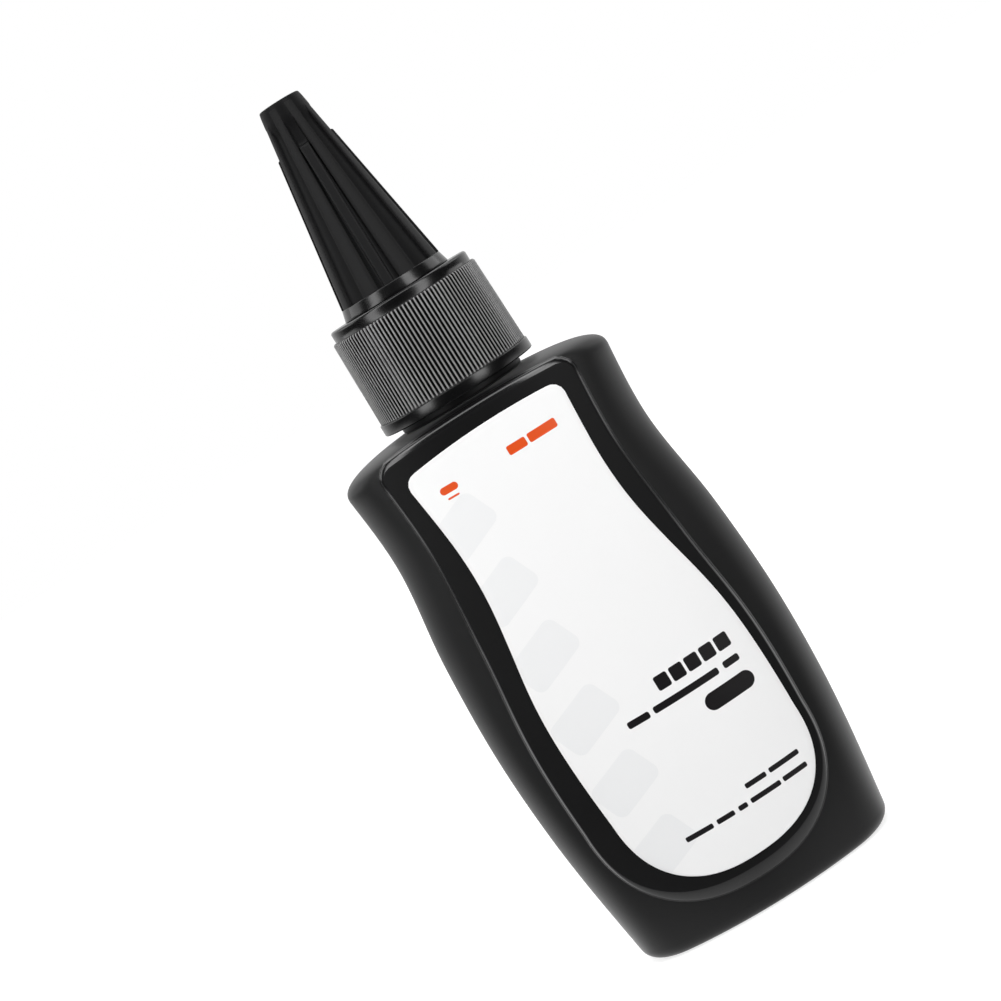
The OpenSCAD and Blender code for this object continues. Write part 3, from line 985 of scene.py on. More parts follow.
@dataclass(frozen=True)
class Margin:
    """How far an outline lies inside the panel's, and its roundings, in millimetres.

    At height z the sides draw in by side + waist exp(-((z - waist_z) / waist_h)^2).
    """

    side: float = 0.0
    top: float = 0.0
    low: float = 0.0
    waist: float = 0.0
    waist_z: float = 59.4
    waist_h: float = 12.0
    corner: float = 3.0
    bowl_power: float = 2.42

    def at(self, z: np.ndarray) -> np.ndarray:
        """Margin at the sides at height z."""
        return self.side + self.waist * np.exp(-(((z - self.waist_z) / self.waist_h) ** 2))


@dataclass
class PanelForm:
    """Outline and edges of the raised panels, in millimetres."""

    body: BodyForm
    rise: float = 0.7
    margin_top: float = 6.5
    margin_low: float = 5.5
    top_drop: float = 0.6
    arch: float = 0.7
    low_z: float = 5.2
    bowl_h: float = 18.4
    side_round: float = 0.6
    top_round: float = 1.3
    low_round: float = 2.7
    foot: float = 0.26
    bowl_points: int = 41
    side_points: int = 49
    corner_points: int = 15
    arch_points: int = 17
    waist: Margin = Margin(side=-0.5, waist=0.9, waist_z=54.5, waist_h=12.5)

    def __post_init__(self) -> None:
        """Works out the heights that the outline turns at."""
        self.bowl_z = self.low_z + self.bowl_h
        self.top_z = self.body.body_h - self.top_drop

    def half(self, z: np.ndarray) -> np.ndarray:
        """Half width of the panel: the body's less a margin that grows upwards.

        Args:
            z: Heights.

        Returns:
            Half widths.
        """
        share = (z - self.bowl_z) / (self.body.shoulder_z - self.bowl_z)
        margin = self.margin_low + (self.margin_top - self.margin_low) * share
        return self.body.width(np.minimum(z, self.body.shoulder_z)) / 2 - margin

    def right_half(self, margin: Margin) -> np.ndarray:
        """Right half of an outline, from its lowest point to the middle of its top.

        A squared ellipse below, x = a cos^q t and z = z0 - b sin^q t, the body's own
        curve at the side, a round corner, and a flat parabola at the top, which also
        takes up the small step that the corner leaves.

        Args:
            margin: How far the outline lies inside the panel's, and its roundings.

        Returns:
            Points of x and z.
        """
        def half(z: np.ndarray) -> np.ndarray:
            """Half width of this outline at height z."""
            return self.half(z) - margin.at(z)

        corner, q = margin.corner, 2 / margin.bowl_power
        a, b = float(half(np.array(self.bowl_z))), self.bowl_h - margin.low
        top = self.top_z - margin.top
        edge = top - self.arch - corner
        cx = float(half(np.array(edge))) - corner
        tilt = math.atan(2 * self.arch / cx)
        t = np.radians(np.linspace(90, 0, self.bowl_points))
        bowl = np.stack([a * np.cos(t).clip(0) ** q, self.bowl_z - b * np.sin(t) ** q], axis=1)
        z = np.linspace(self.bowl_z, edge, self.side_points)[1:]
        side = np.stack([half(z), z], axis=1)
        t = np.linspace(0, QUARTER - tilt, self.corner_points)[1:]
        turn = np.stack([cx + corner * np.cos(t), edge + corner * np.sin(t)], axis=1)
        end_x, end_z = turn[-1]
        step = end_z - top + self.arch * (end_x / cx) ** 2
        x = np.linspace(end_x, 0, self.arch_points)[1:]
        arch = np.stack([x, top - self.arch * (x / cx) ** 2 + step * x / end_x], axis=1)
        return np.concatenate([bowl, side, turn, arch])

    def loop(self, margin: Margin, count: int) -> tuple[np.ndarray, np.ndarray]:
        """A whole outline in even steps, anticlockwise from its lowest point.

        Args:
            margin: How far the outline lies inside the panel's, and its roundings.
            count: Number of points.

        Returns:
            Points of x and z, and their outward directions, smoothed over the neighbours.
        """
        half = self.right_half(margin)
        walk = np.concatenate([[0], np.cumsum(np.hypot(*np.diff(half, axis=0).T))])
        even = np.linspace(0, walk[-1], count // 2 + 1)
        right = np.stack([np.interp(even, walk, half[:, k]) for k in (0, 1)], axis=1)
        loop = np.concatenate([right, right[-2:0:-1] * [-1, 1]])
        along = np.roll(loop, -1, axis=0) - np.roll(loop, 1, axis=0)
        out = np.stack([along[:, 1], -along[:, 0]], axis=1)
        out = out + 0.5 * (np.roll(out, 1, axis=0) + np.roll(out, -1, axis=0))
        return loop, out / np.hypot(*out.T)[:, None]

    def edge_rings(self, up: np.ndarray) -> list[tuple[np.ndarray, float]]:
        """Profile of the panel's edge: a small hollow foot, then a quarter ellipse.

        The ellipse is as wide as the edge is rounded: side_round + up^2 (the top's or
        the low end's less side_round).

        Args:
            up: How far each point's outward direction looks up, -1 to 1.

        Returns:
            For each ring, the points' distances outwards and their height, 0 at the
            wall and 1 at the panel's face.
        """
        end_round = np.where(up > 0, self.top_round, self.low_round)
        drawn = self.side_round + (end_round - self.side_round) * up**2
        hollow = ((1.0, -0.06), (0.78, 0.004), (0.5, 0.03), (0.25, 0.09), (0.08, 0.17))
        start = 0.24
        rings = [(np.full(len(up), self.foot * share), height) for share, height in hollow]
        for t in np.linspace(0, 1, 12) * QUARTER:
            rings.append((-(1 - np.cos(t)) * drawn, start + (1 - start) * np.sin(t)))
        return rings


def face_grid(loop: np.ndarray, across: int) -> np.ndarray:
    """Fills a loop that is even left to right with rows of points from side to side.

    Args:
        loop: The outline, anticlockwise from its lowest point.
        across: Number of spaces from the left side to the right.

    Returns:
        Points of x and z, rows x (across + 1), from the lowest row up.
    """
    half = len(loop) // 2
    right = loop[: half + 1]
    left = np.concatenate([loop[:1], loop[:half - 1:-1]])
    share = np.linspace(0, 1, across + 1)[None, :, None]
    return left[:, None, :] * (1 - share) + right[:, None, :] * share


@dataclass
class Bottle:
    """The blown bottle: one moulding with its neck, thread, panels and base."""

    body: BodyForm
    panel: PanelForm
    columns: int = 224
    wall_rows: int = 72
    shoulder_rows: int = 26
    panel_points: int = 208
    panel_across: int = 28
    neck_r: float = 9.9
    neck_bore_r: float = 8.1
    neck_h: float = 16.25
    lip: float = 0.9
    lip_round: float = 0.3
    bore_round: float = 0.25
    bead_r: float = 10.27
    bead_h: float = 1.25
    bead_round: float = 0.35
    bead_top_round: float = 0.12
    bead_lift: float = 0.1
    pinch_half: float = 13.5
    pinch_half_w: float = 0.42
    pinch_h: float = 0.34
    thread: Thread = Thread(start=95.2, half_w=0.95, flank=0.55)

    def rows(self, d: np.ndarray, z: np.ndarray) -> np.ndarray:
        """Rings of the body, drawn in from its outside.

        Args:
            d: How far each ring is drawn in.
            z: Heights.

        Returns:
            Points, rings x columns x 3.
        """
        b = self.body
        width = b.width(np.maximum(z, 0.0)) / 2
        return b.section(width - d, b.depth / 2 - d, b.face_r - d, z, self.columns)

    def shoulder_rings(self, inset: float, end_r: float, share: np.ndarray) -> np.ndarray:
        """Rings over the shoulder, closer together towards its round end.

        Args:
            inset: How far the surface lies inside the outer one.
            end_r: Radius of the round end.
            share: Angles from 0 to a quarter turn; a ring's height is their sine^0.8.

        Returns:
            Points, rings x columns x 3.
        """
        b = self.body
        top_z = b.body_h - inset
        over = (top_z - b.shoulder_z) * np.sin(share) ** 0.8
        a, half = b.shoulder(over, inset, end_r, top_z)
        arc = np.full(len(share), b.face_r - inset)
        return b.section(a, half, arc, b.shoulder_z + over, self.columns)

    def base(self) -> np.ndarray:
        """The hollow base, its flat rim and the heel: a smooth step and a quarter circle.

        Returns:
            Points, rings x columns x 3, from the middle outwards.
        """
        b = self.body
        rim_in = b.heel_r + b.rim_w
        hollow_in = rim_in + b.pushup_w
        middle = np.linspace(b.depth / 2 - b.middle_d, hollow_in, 8)[:-1]
        step = np.linspace(hollow_in, rim_in, 9)
        turn = np.radians(np.linspace(0, 90, 10))[:-1]
        d = np.concatenate([middle, step, b.heel_r * (1 - np.sin(turn))])
        z = np.concatenate([np.full(len(middle), b.pushup_h),
                            b.pushup_h * smooth((step - rim_in) / b.pushup_w),
                            b.heel_r * (1 - np.cos(turn))])
        return self.rows(d, z)

    def wall(self) -> np.ndarray:
        """The wall up to the shoulder and the shoulder up to the neck root.

        Returns:
            Points, rings x columns x 3, from the heel up.
        """
        b = self.body
        low = self.rows(np.zeros(self.wall_rows), np.linspace(b.heel_r, b.shoulder_z, self.wall_rows))
        share = np.linspace(0, QUARTER, self.shoulder_rows + 1)[1:]
        return np.concatenate([low, self.shoulder_rings(0.0, b.root_r, share)])

    def neck(self) -> np.ndarray:
        """The bead, the threaded neck, its rim and the bore.

        Returns:
            Points, rings x columns x 3, up the outside and down the bore.
        """
        b, r, bore = self.body, self.neck_r, self.neck_bore_r
        low, rim = b.body_h + self.bead_lift, b.body_h + self.neck_h
        bead_top, top_round, low_round = low + self.bead_h, self.bead_top_round, self.bead_round
        start, first = bead_top + 0.4, self.thread.start - 1.2
        profile = [(r + 0.04, low - 0.02)]
        profile += round_corner((self.bead_r - low_round, low + low_round), low_round, -90, 0, 5)
        profile += round_corner((self.bead_r - top_round, bead_top - top_round), top_round, 0, 90, 3)
        profile += [(r + 0.05, bead_top + 0.02), (r, bead_top + 0.12)]
        profile += [(r, start), (r, (start + first) / 2)]
        profile += [(r, z) for z in np.arange(first, self.thread.end + 1.2, 0.16)]
        profile += [(r, rim - self.lip)]
        profile += round_corner((r - self.lip_round, rim - self.lip_round), self.lip_round, 0, 90, 4)
        profile += round_corner((bore + self.bore_round, rim - self.bore_round), self.bore_round,
                                90, 180, 4)
        profile += [(bore, rim - 4), (bore, b.body_h + 1), (bore, b.body_h - b.wall_t + 0.3)]
        radius, z = (v[:, None] for v in np.array(profile).T)
        turn = angles(self.columns)[None, :]
        threaded = (z > start) & (z < rim - self.lip) & (radius > r - 0.01)
        return around(np.where(threaded, radius + self.thread.ridge(z, turn), radius), turn, z)

    def inside(self) -> np.ndarray:
        """The inner skin from the bore down to the floor.

        Returns:
            Points, rings x columns x 3, from the bore down.
        """
        b, t = self.body, self.body.wall_t
        high = self.shoulder_rings(t, self.neck_bore_r, np.linspace(QUARTER, 0, 13))
        z = np.linspace(b.shoulder_z, b.heel_r, 16)[1:]
        rim_in = b.heel_r + b.rim_w
        floor = np.array([(t + 0.35, 1.35), (t + 1.1, 1.0), (rim_in - 0.3, 1.05),
                          (rim_in + 2.0, b.pushup_h + t), (b.depth / 2 - b.middle_d, b.pushup_h + t)])
        low = self.rows(np.concatenate([np.full(len(z), t), floor[:, 0]]),
                        np.concatenate([z, floor[:, 1]]))
        return np.concatenate([high, low])

    def raised_panel(self, builder: MeshBuilder, side: Side) -> None:
        """Adds a raised panel whose edge runs out tangent to the wall.

        Rings follow the outline over the edge. A grid fills the face, and a second
        one closes the back inside the wall.

        Args:
            builder: The bottle's mesh builder.
            side: The face of the body that the panel is on.
        """
        form, b = self.panel, self.body
        loop, out = form.loop(form.waist, self.panel_points)
        edge = form.edge_rings(out[:, 1])
        sunk = np.array([1, 0.96, 1])

        def surface(flat: np.ndarray, height: float) -> np.ndarray:
            """Puts points on the face.

            Args:
                flat: Points of x and z.
                height: 0 at the wall, 1 at the panel's face.

            Returns:
                Points of x, y and z.
            """
            x, z = flat[..., 0], flat[..., 1]
            wall = b.wall_depth(x, z)
            top = np.sqrt((b.face_r + form.rise) ** 2 - x * x) - (b.face_r - b.depth / 2)
            y = -(wall + height * (top - wall))
            return np.stack([x * side.value, y * side.value, z], axis=-1)

        back = loop + out * (form.foot - 0.1)
        rings = [surface(back, 0) * sunk]
        rings += [surface(loop + out * away[:, None], height) for away, height in edge]
        # The outermost rows are as dull as the wall, and the last ones already as the face.
        slots = [BottleSlot.WALL] * 3 + [BottleSlot.EDGE] * 12
        slots += [BottleSlot.FACE] * (len(rings) - 1 - len(slots))
        index = builder.grid(np.array(rings), slots)
        inner = loop + out * edge[-1][0][:, None]
        builder.fill(index[-1], surface(face_grid(inner, self.panel_across), 1.0), BottleSlot.FACE)
        builder.fill(index[0], surface(face_grid(back, self.panel_across), 0) * sunk, flip=True)

    def pinch_seam(self, builder: MeshBuilder) -> None:
        """Adds the pinch-off seam across the base: a low rounded bar.

        Its section is an ellipse, which closes towards the ends by (1 - s^6)^0.5.

        Args:
            builder: The bottle's mesh builder.
        """
        along = np.linspace(-1, 1, 31)[1:-1, None]
        size = np.sqrt(1 - along**6)
        turn = angles(12)
        y = size * self.pinch_half_w * np.cos(turn)
        z = self.body.pushup_h - size * self.pinch_h * np.sin(turn)
        x = np.broadcast_to(along * self.pinch_half, y.shape)
        builder.closed_grid(np.stack([x, y, z], axis=2))

    def build(self, effects: Effects) -> bpy.types.Object:
        """Builds the whole moulding.

        Args:
            effects: The shared node groups.

        Returns:
            The bottle's object.
        """
        builder = MeshBuilder()
        builder.closed_grid(np.concatenate([self.base(), self.wall(), self.neck(), self.inside()]))
        for side in Side:
            self.raised_panel(builder, side)
        self.pinch_seam(builder)
        finishes = {BottleSlot.WALL: BLOWN_WALL, BottleSlot.FACE: BLOWN_PANEL,
                    BottleSlot.EDGE: PANEL_EDGE}
        return builder.build("bottle_shell", [finishes[slot].make(effects) for slot in BottleSlot],
                             sharp=50)


@dataclass
class Label:
    """The film label on the front panel, in millimetres."""

    panel: PanelForm
    margin: Margin = Margin(side=2.5, top=3.25, low=3.3, waist=1.55, corner=2.0, bowl_power=2.45)
    points: int = 240
    across: int = 32
    skew: float = 1.55
    shift: float = 0.9
    glue: float = 0.03
    film: float = 0.12
    edge: float = 0.08

    def build(self, effects: Effects) -> bpy.types.Object:
        """Builds the film with a rounded edge: rings at its outline and a grid inside.

        Args:
            effects: The shared node groups.

        Returns:
            The label's object.
        """
        form, b = self.panel, self.panel.body
        loop, out = form.loop(self.margin, self.points)
        seat = b.face_r + form.rise + self.glue
        middle = (form.low_z + form.top_z) / 2
        turn = math.radians(self.skew)

        def surface(flat: np.ndarray, height: float) -> np.ndarray:
            """Skews points about the panel's middle and lays them on the face.

            Args:
                flat: Points of x and z.
                height: How far they lie over the film's seat.

            Returns:
                Points of x, y and z.
            """
            x, z = flat[..., 0], flat[..., 1] - middle
            x, z = (x * math.cos(turn) - z * math.sin(turn) + self.shift,
                    x * math.sin(turn) + z * math.cos(turn) + middle)
            y = (b.face_r - b.depth / 2) - np.sqrt((seat + height) ** 2 - x * x)
            return np.stack([x, y, z], axis=-1)

        builder = MeshBuilder()
        rings = ((0.0, 0.0), (0.0, self.film * 0.55), (-0.03, self.film * 0.85),
                 (-self.edge, self.film))
        index = builder.grid(np.array([surface(loop + out * away, height) for away, height in rings]))
        inner = face_grid(loop - out * self.edge, self.across)
        builder.fill(index[-1], surface(inner, self.film))
        builder.fill(index[0], surface(face_grid(loop, self.across), 0.0), flip=True)
        return builder.build("label_film", [FilmFinish().make(effects)], sharp=60)


# ---------------------------------------------------------------- closure


@dataclass
class SealRing:
    """The soft ring between the neck's rim and the collar, in millimetres."""

    low_z: float = 104.15
    thickness: float = 1.0
    outer_r: float = 10.8
    inner_r: float = 7.6
    edge: float = 0.18

    def build(self, effects: Effects) -> bpy.types.Object:
        """Turns the ring's rounded section round the axis.

        Args:
            effects: The shared node groups.

        Returns:
            The ring's object.
        """
        e = self.edge
        inner, outer = self.inner_r + e, self.outer_r - e
        low, high = self.low_z + e, self.low_z + self.thickness - e
        section: Profile = []
        for centre, start in (((outer, low), -90), ((outer, high), 0), ((inner, high), 90),
                              ((inner, low), 180)):
            section += round_corner(centre, e, start, start + 90, 4)
        builder = MeshBuilder()
        index = builder.lathe(section, 96)
        builder.bridge(index[-1], index[0])
        return builder.build("sealing_ring", [SEAL_FOAM.make(effects)])


@dataclass
class Collar:
    """The ribbed screw collar with its stem and closing pin, in millimetres."""

    low_z: float = 89.10
    top_z: float = 106.55
    top_t: float = 1.4
    bore_r: float = 10.95
    flange_r: float = 12.84
    flange_h: float = 1.78
    flange_round: float = 0.25
    flange_top_round: float = 0.15
    grip_low_r: float = 12.58
    grip_top_r: float = 12.32
    grip_depth: float = 0.32
    grip_n: int = 120
    grip_run_in: float = 0.42
    grip_bevel: float = 0.35
    band_r: float = 11.75
    band_h: float = 1.7
    band_round: float = 0.45
    stem_r: float = 5.6
    stem_wall: float = 1.2
    stem_top: float = 114.55
    snap_z: float = 112.67
    snap_h: float = 0.85
    snap_out: float = 0.35
    pin_r: float = 1.5
    pin_low: float = 110.55
    pin_top: float = 139.3
    pin_round: float = 0.25
    web_t: float = 0.9
    web_h: float = 3.7
    web_round: float = 0.15
    web_n: int = 3
    rib_columns: int = 8
    thread: Thread = Thread(start=93.6, half_w=0.9, flank=0.5)

    def outside(self) -> tuple[np.ndarray, np.ndarray]:
        """Underside, flange, ribbed grip, band and top.

        Each row has a radius over the ribs and a share of rib depth; a rib is the
        raised cosine of its own angle, so the radius is r - depth (1 - rib) share.

        Returns:
            Points, rows x columns x 3, and how much each lies on a rib's crest, where a highlight is
            painted.
        """
        def plain(*points: tuple[float, float]) -> list[tuple[float, float, float]]:
            """Rows without ribs."""
            return [(r, z, 0.0) for r, z in points]

        low, top, grip = self.low_z, self.top_z, self.low_z + self.flange_h
        end = top - self.band_h
        edge, upper, bend = self.flange_round, self.flange_top_round, self.band_round
        ribbed, height = grip + self.grip_run_in, end - self.grip_bevel - grip - self.grip_run_in
        flange, foot, crown, band = self.flange_r, self.grip_low_r, self.grip_top_r, self.band_r
        rows = plain((self.bore_r + 0.1, low), (flange - edge, low))
        rows += plain(*round_corner((flange - edge, low + edge), edge, -70, 0, 4))
        rows += plain((flange, grip - 0.75))
        rows += plain(*round_corner((flange - upper, grip - upper), upper, 0, 90, 4))
        rows += plain((foot + 0.02, grip))
        rows += [(foot, grip + rise, share) for rise, share in ((0.04, 0.25), (0.13, 0.68), (0.26, 0.95))]
        rows += [(foot, ribbed, 1.0)]
        rows += [(foot + (crown - foot) * s, ribbed + height * s, 1.0) for s in (0.3, 0.65, 1.0)]
        rows += [(crown - drawn, end - drop, share) for drawn, drop, share in (
            (0.05, 0.22, 0.97), (0.13, 0.12, 0.85), (0.24, 0.04, 0.45), (0.36, 0.0, 0.0))]
        rows += plain((band + 0.04, end + 0.01), (band, end + 0.06), (band, top - bend - 0.4))
        rows += plain(*round_corner((band - bend, top - bend), bend, 0, 90, 7))
        rows += plain((band - 1.2, top), (self.stem_r + 0.5, top))
        radius, z, share = (v[:, None] for v in np.array(rows).T)
        turn = angles(self.grip_n * self.rib_columns)
        rib = (0.5 + 0.5 * np.cos(turn * self.grip_n)) ** 0.85
        # This mask marks where the cap's finish paints a highlight on each rib's crest.
        crest = smooth((rib - 0.56) / 0.25) * smooth((share - 0.3) / 0.6)
        return around(radius - self.grip_depth * (1 - rib) * share, turn, z), crest

    def bore(self) -> np.ndarray:
        """The ceiling and the bore, with the right-hand ridge that runs in the neck's groove.

        Its thread starts half a pitch away from the neck's.

        Returns:
            Points, rows x columns x 3, from the ceiling down.
        """
        ceiling, r, end = self.top_z - self.top_t, self.bore_r, self.thread.end
        profile = [(self.stem_r - self.stem_wall + 0.2, ceiling), (r - 0.3, ceiling), (r, ceiling - 0.3)]
        profile += [(r, z) for z in np.linspace(ceiling - 2.0, end + 1.4, 3)]
        profile += [(r, z) for z in np.arange(end + 1.1, self.thread.start - 1.2, -0.2)]
        profile += [(r, self.low_z + 0.4), (r + 0.06, self.low_z + 0.08)]
        radius, z = (v[:, None] for v in np.array(profile).T)
        turn = angles(self.grip_n * self.rib_columns // 5)[None, :]
        threaded = (z < end + 1.2) & (z > self.thread.start - 1.3)
        return around(radius - self.thread.ridge(z, turn) * threaded, turn, z)

    def stem(self) -> Profile:
        """Profile of the stem.

        Returns:
            Pairs of radius and height, from the root over the snap bead and down the bore.
        """
        r, z, bead = self.stem_r, self.snap_z, self.stem_r + self.snap_out
        inner, ceiling, crown = r - self.stem_wall, self.top_z - self.top_t, z + self.snap_h / 2
        return [
            (r + 0.12, self.top_z), (r, self.top_z + 0.12), (r, z - 0.1), (r + 0.05, z),
            (bead - 0.05, z + 0.06), (bead, z + 0.16), (bead, crown - 0.06), (bead - 0.1, crown + 0.1),
            (r - 0.1, z + self.snap_h + 0.1), (r - 0.56, self.stem_top - 0.12),
            (r - 0.66, self.stem_top), (inner + 0.12, self.stem_top), (inner, self.stem_top - 0.12),
            (inner, ceiling + 0.1), (inner + 0.08, ceiling),
        ]

    def pin(self) -> Profile:
        """Profile of the closing pin from its foot to its rounded tip."""
        r, tip = self.pin_r, self.pin_round
        return [(0.5, self.pin_low), (r - 0.1, self.pin_low), (r, self.pin_low + 0.1),
                (r, self.pin_top - 3), *round_corner((r - tip, self.pin_top - tip), tip, 0, 90, 4),
                (0.5, self.pin_top)]

    def webs(self, builder: MeshBuilder) -> None:
        """Adds the webs between the pin and the stem: slabs along a radius with round edges.

        Args:
            builder: The collar's mesh builder.
        """
        side, low, high = (self.web_t / 2 - self.web_round, self.pin_low + self.web_round,
                           self.pin_low + self.web_h - self.web_round)
        section: Profile = []
        for centre, start in (((side, high), 0), ((-side, high), 90), ((-side, low), 180),
                              ((side, low), 270)):
            section += round_corner(centre, self.web_round, start, start + 90, 2)
        y, z = np.array(section).T
        x = np.array([[self.pin_r * 0.6], [self.stem_r - self.stem_wall / 2]])
        for number in range(self.web_n):
            turn = TURN * number / self.web_n + QUARTER
            builder.closed_grid(np.stack(np.broadcast_arrays(
                x * math.cos(turn) - y * math.sin(turn),
                x * math.sin(turn) + y * math.cos(turn), z), axis=2))

    def build(self, effects: Effects) -> bpy.types.Object:
        """Builds the collar as one moulding.

        Args:
            effects: The shared node groups.

        Returns:
            The collar's object.
        """
        builder = MeshBuilder()
        points, crest = self.outside()
        outer = builder.grid(points)
        stem = builder.lathe(self.stem(), 96)
        bore = builder.grid(self.bore())
        builder.bridge(outer[-1], stem[0])
        builder.bridge(stem[-1], bore[0])
        builder.bridge(bore[-1], outer[0])
        rod = builder.lathe(self.pin(), 32)
        builder.cap(rod[0], up=False)
        builder.cap(rod[-1], up=True)
        self.webs(builder)
        return builder.build("screw_collar", [CAP_PLASTIC.make(effects)], sharp=60, crest=crest)


@dataclass
class Spout:
    """The twist-open cone with lands, grooves and four narrow ribs, in millimetres."""

    low_z: float = 106.55
    tip_z: float = 139.45
    tip_r: float = 3.4
    tip_round: float = 0.3
    slope: float = math.tan(math.radians(9))
    ring_low_r: float = 8.93
    ring_top_r: float = 8.5
    ring_h: float = 1.85
    ring_round: float = 0.15
    groove_depth: float = 0.5
    groove_end: float = 2.2
    fade: float = 2.5
    land_from: float = 12.4
    land_to: float = 32.5
    edge_round: float = 0.06
    rib_w: float = 1.55
    rib_proud: float = 0.17
    rib_start: float = 7.4
    bore_r: float = 5.66
    relief_r: float = 6.05
    stop_z: float = 109.75
    relief_z: float = 113.72
    hollow_r: float = 5.73
    throat_r: float = 2.22
    hole_r: float = 1.58

    def columns_at(self, r: np.ndarray) -> tuple[np.ndarray, np.ndarray, np.ndarray]:
        """Angles of the columns at radius r, gathered at the edges of rib and land.

        A sector runs from a rib's middle to 45 degrees; each edge has five columns
        that share its rounding, and the sector is mirrored and repeated.

        Args:
            r: Radius of each row.

        Returns:
            Angles in radians, rows x columns, and each column's share of rib and of land.
        """
        rib = np.arcsin(np.clip(self.rib_w / 2 / r, 0, 0.17))
        land, end, last = np.radians(self.land_from), np.radians(self.land_to), TURN / 8
        near = np.minimum(self.edge_round, 0.2 * (land - rib) * r) / r
        spread = np.array([-2.2, -1.0, 0.0, 1.0, 2.2])
        fall = np.array([1.0, 0.93, 0.5, 0.07, 0.0])
        parts = [0 * rib, 0.55 * rib, *(rib + k * near for k in spread), (rib + land) / 2]
        parts += [land + k * near for k in spread]
        parts += [np.full_like(rib, land + (end - land) * k) for k in (0.25, 0.5, 0.75)]
        parts += [end + k * (self.edge_round / r) for k in spread]
        parts += [np.full_like(rib, end + (last - end) * k) for k in (0.35, 0.7, 1.0)]
        sector = np.stack(parts, axis=1)
        mirror = slice(-2, 0, -1)
        quarter = np.concatenate([sector, QUARTER - sector[:, mirror]], axis=1)
        turn = np.concatenate([quarter + QUARTER * k for k in range(4)], axis=1)

        def whole(share: list[np.ndarray]) -> np.ndarray:
            """Mirrors a sector's share and repeats it round the cone."""
            share = np.concatenate(share)
            return np.tile(np.concatenate([share, share[mirror]]), 4)

        return (turn, whole([np.ones(2), fall, np.zeros(17)]),
                whole([np.zeros(8), fall[::-1], np.ones(3), fall, np.zeros(3)]))

    def outside(self) -> tuple[np.ndarray, np.ndarray]:
        """The foot ring, the fluted cone and the rounded tip.

        The cone's radius is the land's, less a groove depth that fades out below the
        tip, plus the ribs where they run.

        Returns:
            Points, rows x columns x 3, and the material slot of each face.
        """
        ring_z, edge = self.low_z + self.ring_h, self.ring_round
        rib_z, run_z = self.tip_z - self.rib_start, self.tip_z - self.groove_end
        lean = (self.ring_top_r - self.ring_low_r) / (self.ring_h - 2 * edge)
        ring = [(self.bore_r + 0.25, self.low_z), (self.ring_low_r - edge, self.low_z)]
        ring += round_corner((self.ring_low_r - edge, self.low_z + edge), edge, -70, 0, 4)
        ring += [(self.ring_low_r + lean * (up - edge), self.low_z + up) for up in (0.5, 1.25)]
        ring += round_corner((self.ring_top_r - edge, ring_z - edge), edge, 8, 90, 4)
        body = np.concatenate([
            [ring_z + 0.02, ring_z + 0.25], np.linspace(ring_z + 1.2, rib_z - 0.5, 22),
            rib_z + np.array([-0.16, -0.05, 0.0, 0.05, 0.16]),
            np.linspace(rib_z + 0.7, run_z - self.fade, 4),
            np.linspace(run_z - self.fade, run_z + 0.2, 12)[1:], [self.tip_z - 1.2, self.tip_z - 0.7],
        ])
        tip = round_corner((self.tip_r - self.tip_round, self.tip_z - self.tip_round),
                           self.tip_round, 5, 90, 6) + [(self.hole_r + 0.35, self.tip_z)]

        plain_r = self.tip_r + (self.tip_z - body) * self.slope
        turn, rib, land = self.columns_at(plain_r)
        depth = self.groove_depth * smooth((run_z - body) / self.fade * 0.9)[:, None]
        under = smooth((rib_z + 0.1 - body) / 0.2)[:, None]
        share = np.maximum(land, rib * under)
        cone_r = plain_r[:, None] - depth * (1 - share) + self.rib_proud * under * rib

        def spread(part: Profile) -> tuple[np.ndarray, np.ndarray]:
            """Radii of a plain part, rows x columns, and its heights."""
            radius, height = np.array(part).T
            return np.repeat(radius[:, None], turn.shape[1], axis=1), height

        (ring_r, ring_height), (tip_r, tip_height) = spread(ring), spread(tip)
        radius = np.concatenate([ring_r, cone_r, tip_r])
        turns = np.concatenate([np.repeat(turn[:1], len(ring), axis=0), turn,
                                np.repeat(turn[-1:], len(tip), axis=0)])
        height = np.concatenate([ring_height, body, tip_height])[:, None]
        cone = np.concatenate([0 * ring_r, share, 0 * tip_r])
        right = np.roll(cone, -1, axis=1)
        of_land = (cone[:-1] + cone[1:] + right[:-1] + right[1:]) / 4
        # Faces in the grooves take the darker groove finish, which is painted shade.
        slot = np.where(of_land > 0.5, SpoutSlot.LAND, SpoutSlot.GROOVE)
        slot[: len(ring)] = SpoutSlot.RING
        return around(radius, turns, height), slot

    def inside(self) -> Profile:
        """Profile from the hole at the tip down the hollow to the bore."""
        tip = self.tip_z
        return [(self.hole_r + 0.12, tip), (self.hole_r, tip - 0.12), (self.hole_r, tip - 1.2),
                (self.throat_r, tip - 2.0), (self.hollow_r, self.relief_z + 0.6),
                (self.relief_r, self.relief_z), (self.relief_r, self.stop_z + 0.1),
                (self.bore_r, self.stop_z), (self.bore_r, self.low_z + 0.15),
                (self.bore_r + 0.1, self.low_z)]

    def build(self, effects: Effects) -> bpy.types.Object:
        """Builds the cone as one moulding.

        Args:
            effects: The shared node groups.

        Returns:
            The spout's object.
        """
        builder = MeshBuilder()
        points, slot = self.outside()
        outer = builder.grid(points, slot)
        inner = builder.lathe(self.inside(), points.shape[1] // 2)
        builder.bridge(outer[-1], inner[0], SpoutSlot.GROOVE)
        builder.bridge(inner[-1], outer[0])
        finishes = {SpoutSlot.RING: SPOUT_RING, SpoutSlot.LAND: SPOUT_LAND,
                    SpoutSlot.GROOVE: SPOUT_GROOVE}
        return builder.build("cone_spout", [finishes[slot].make(effects) for slot in SpoutSlot],
                             sharp=45)


# ---------------------------------------------------------------- studio


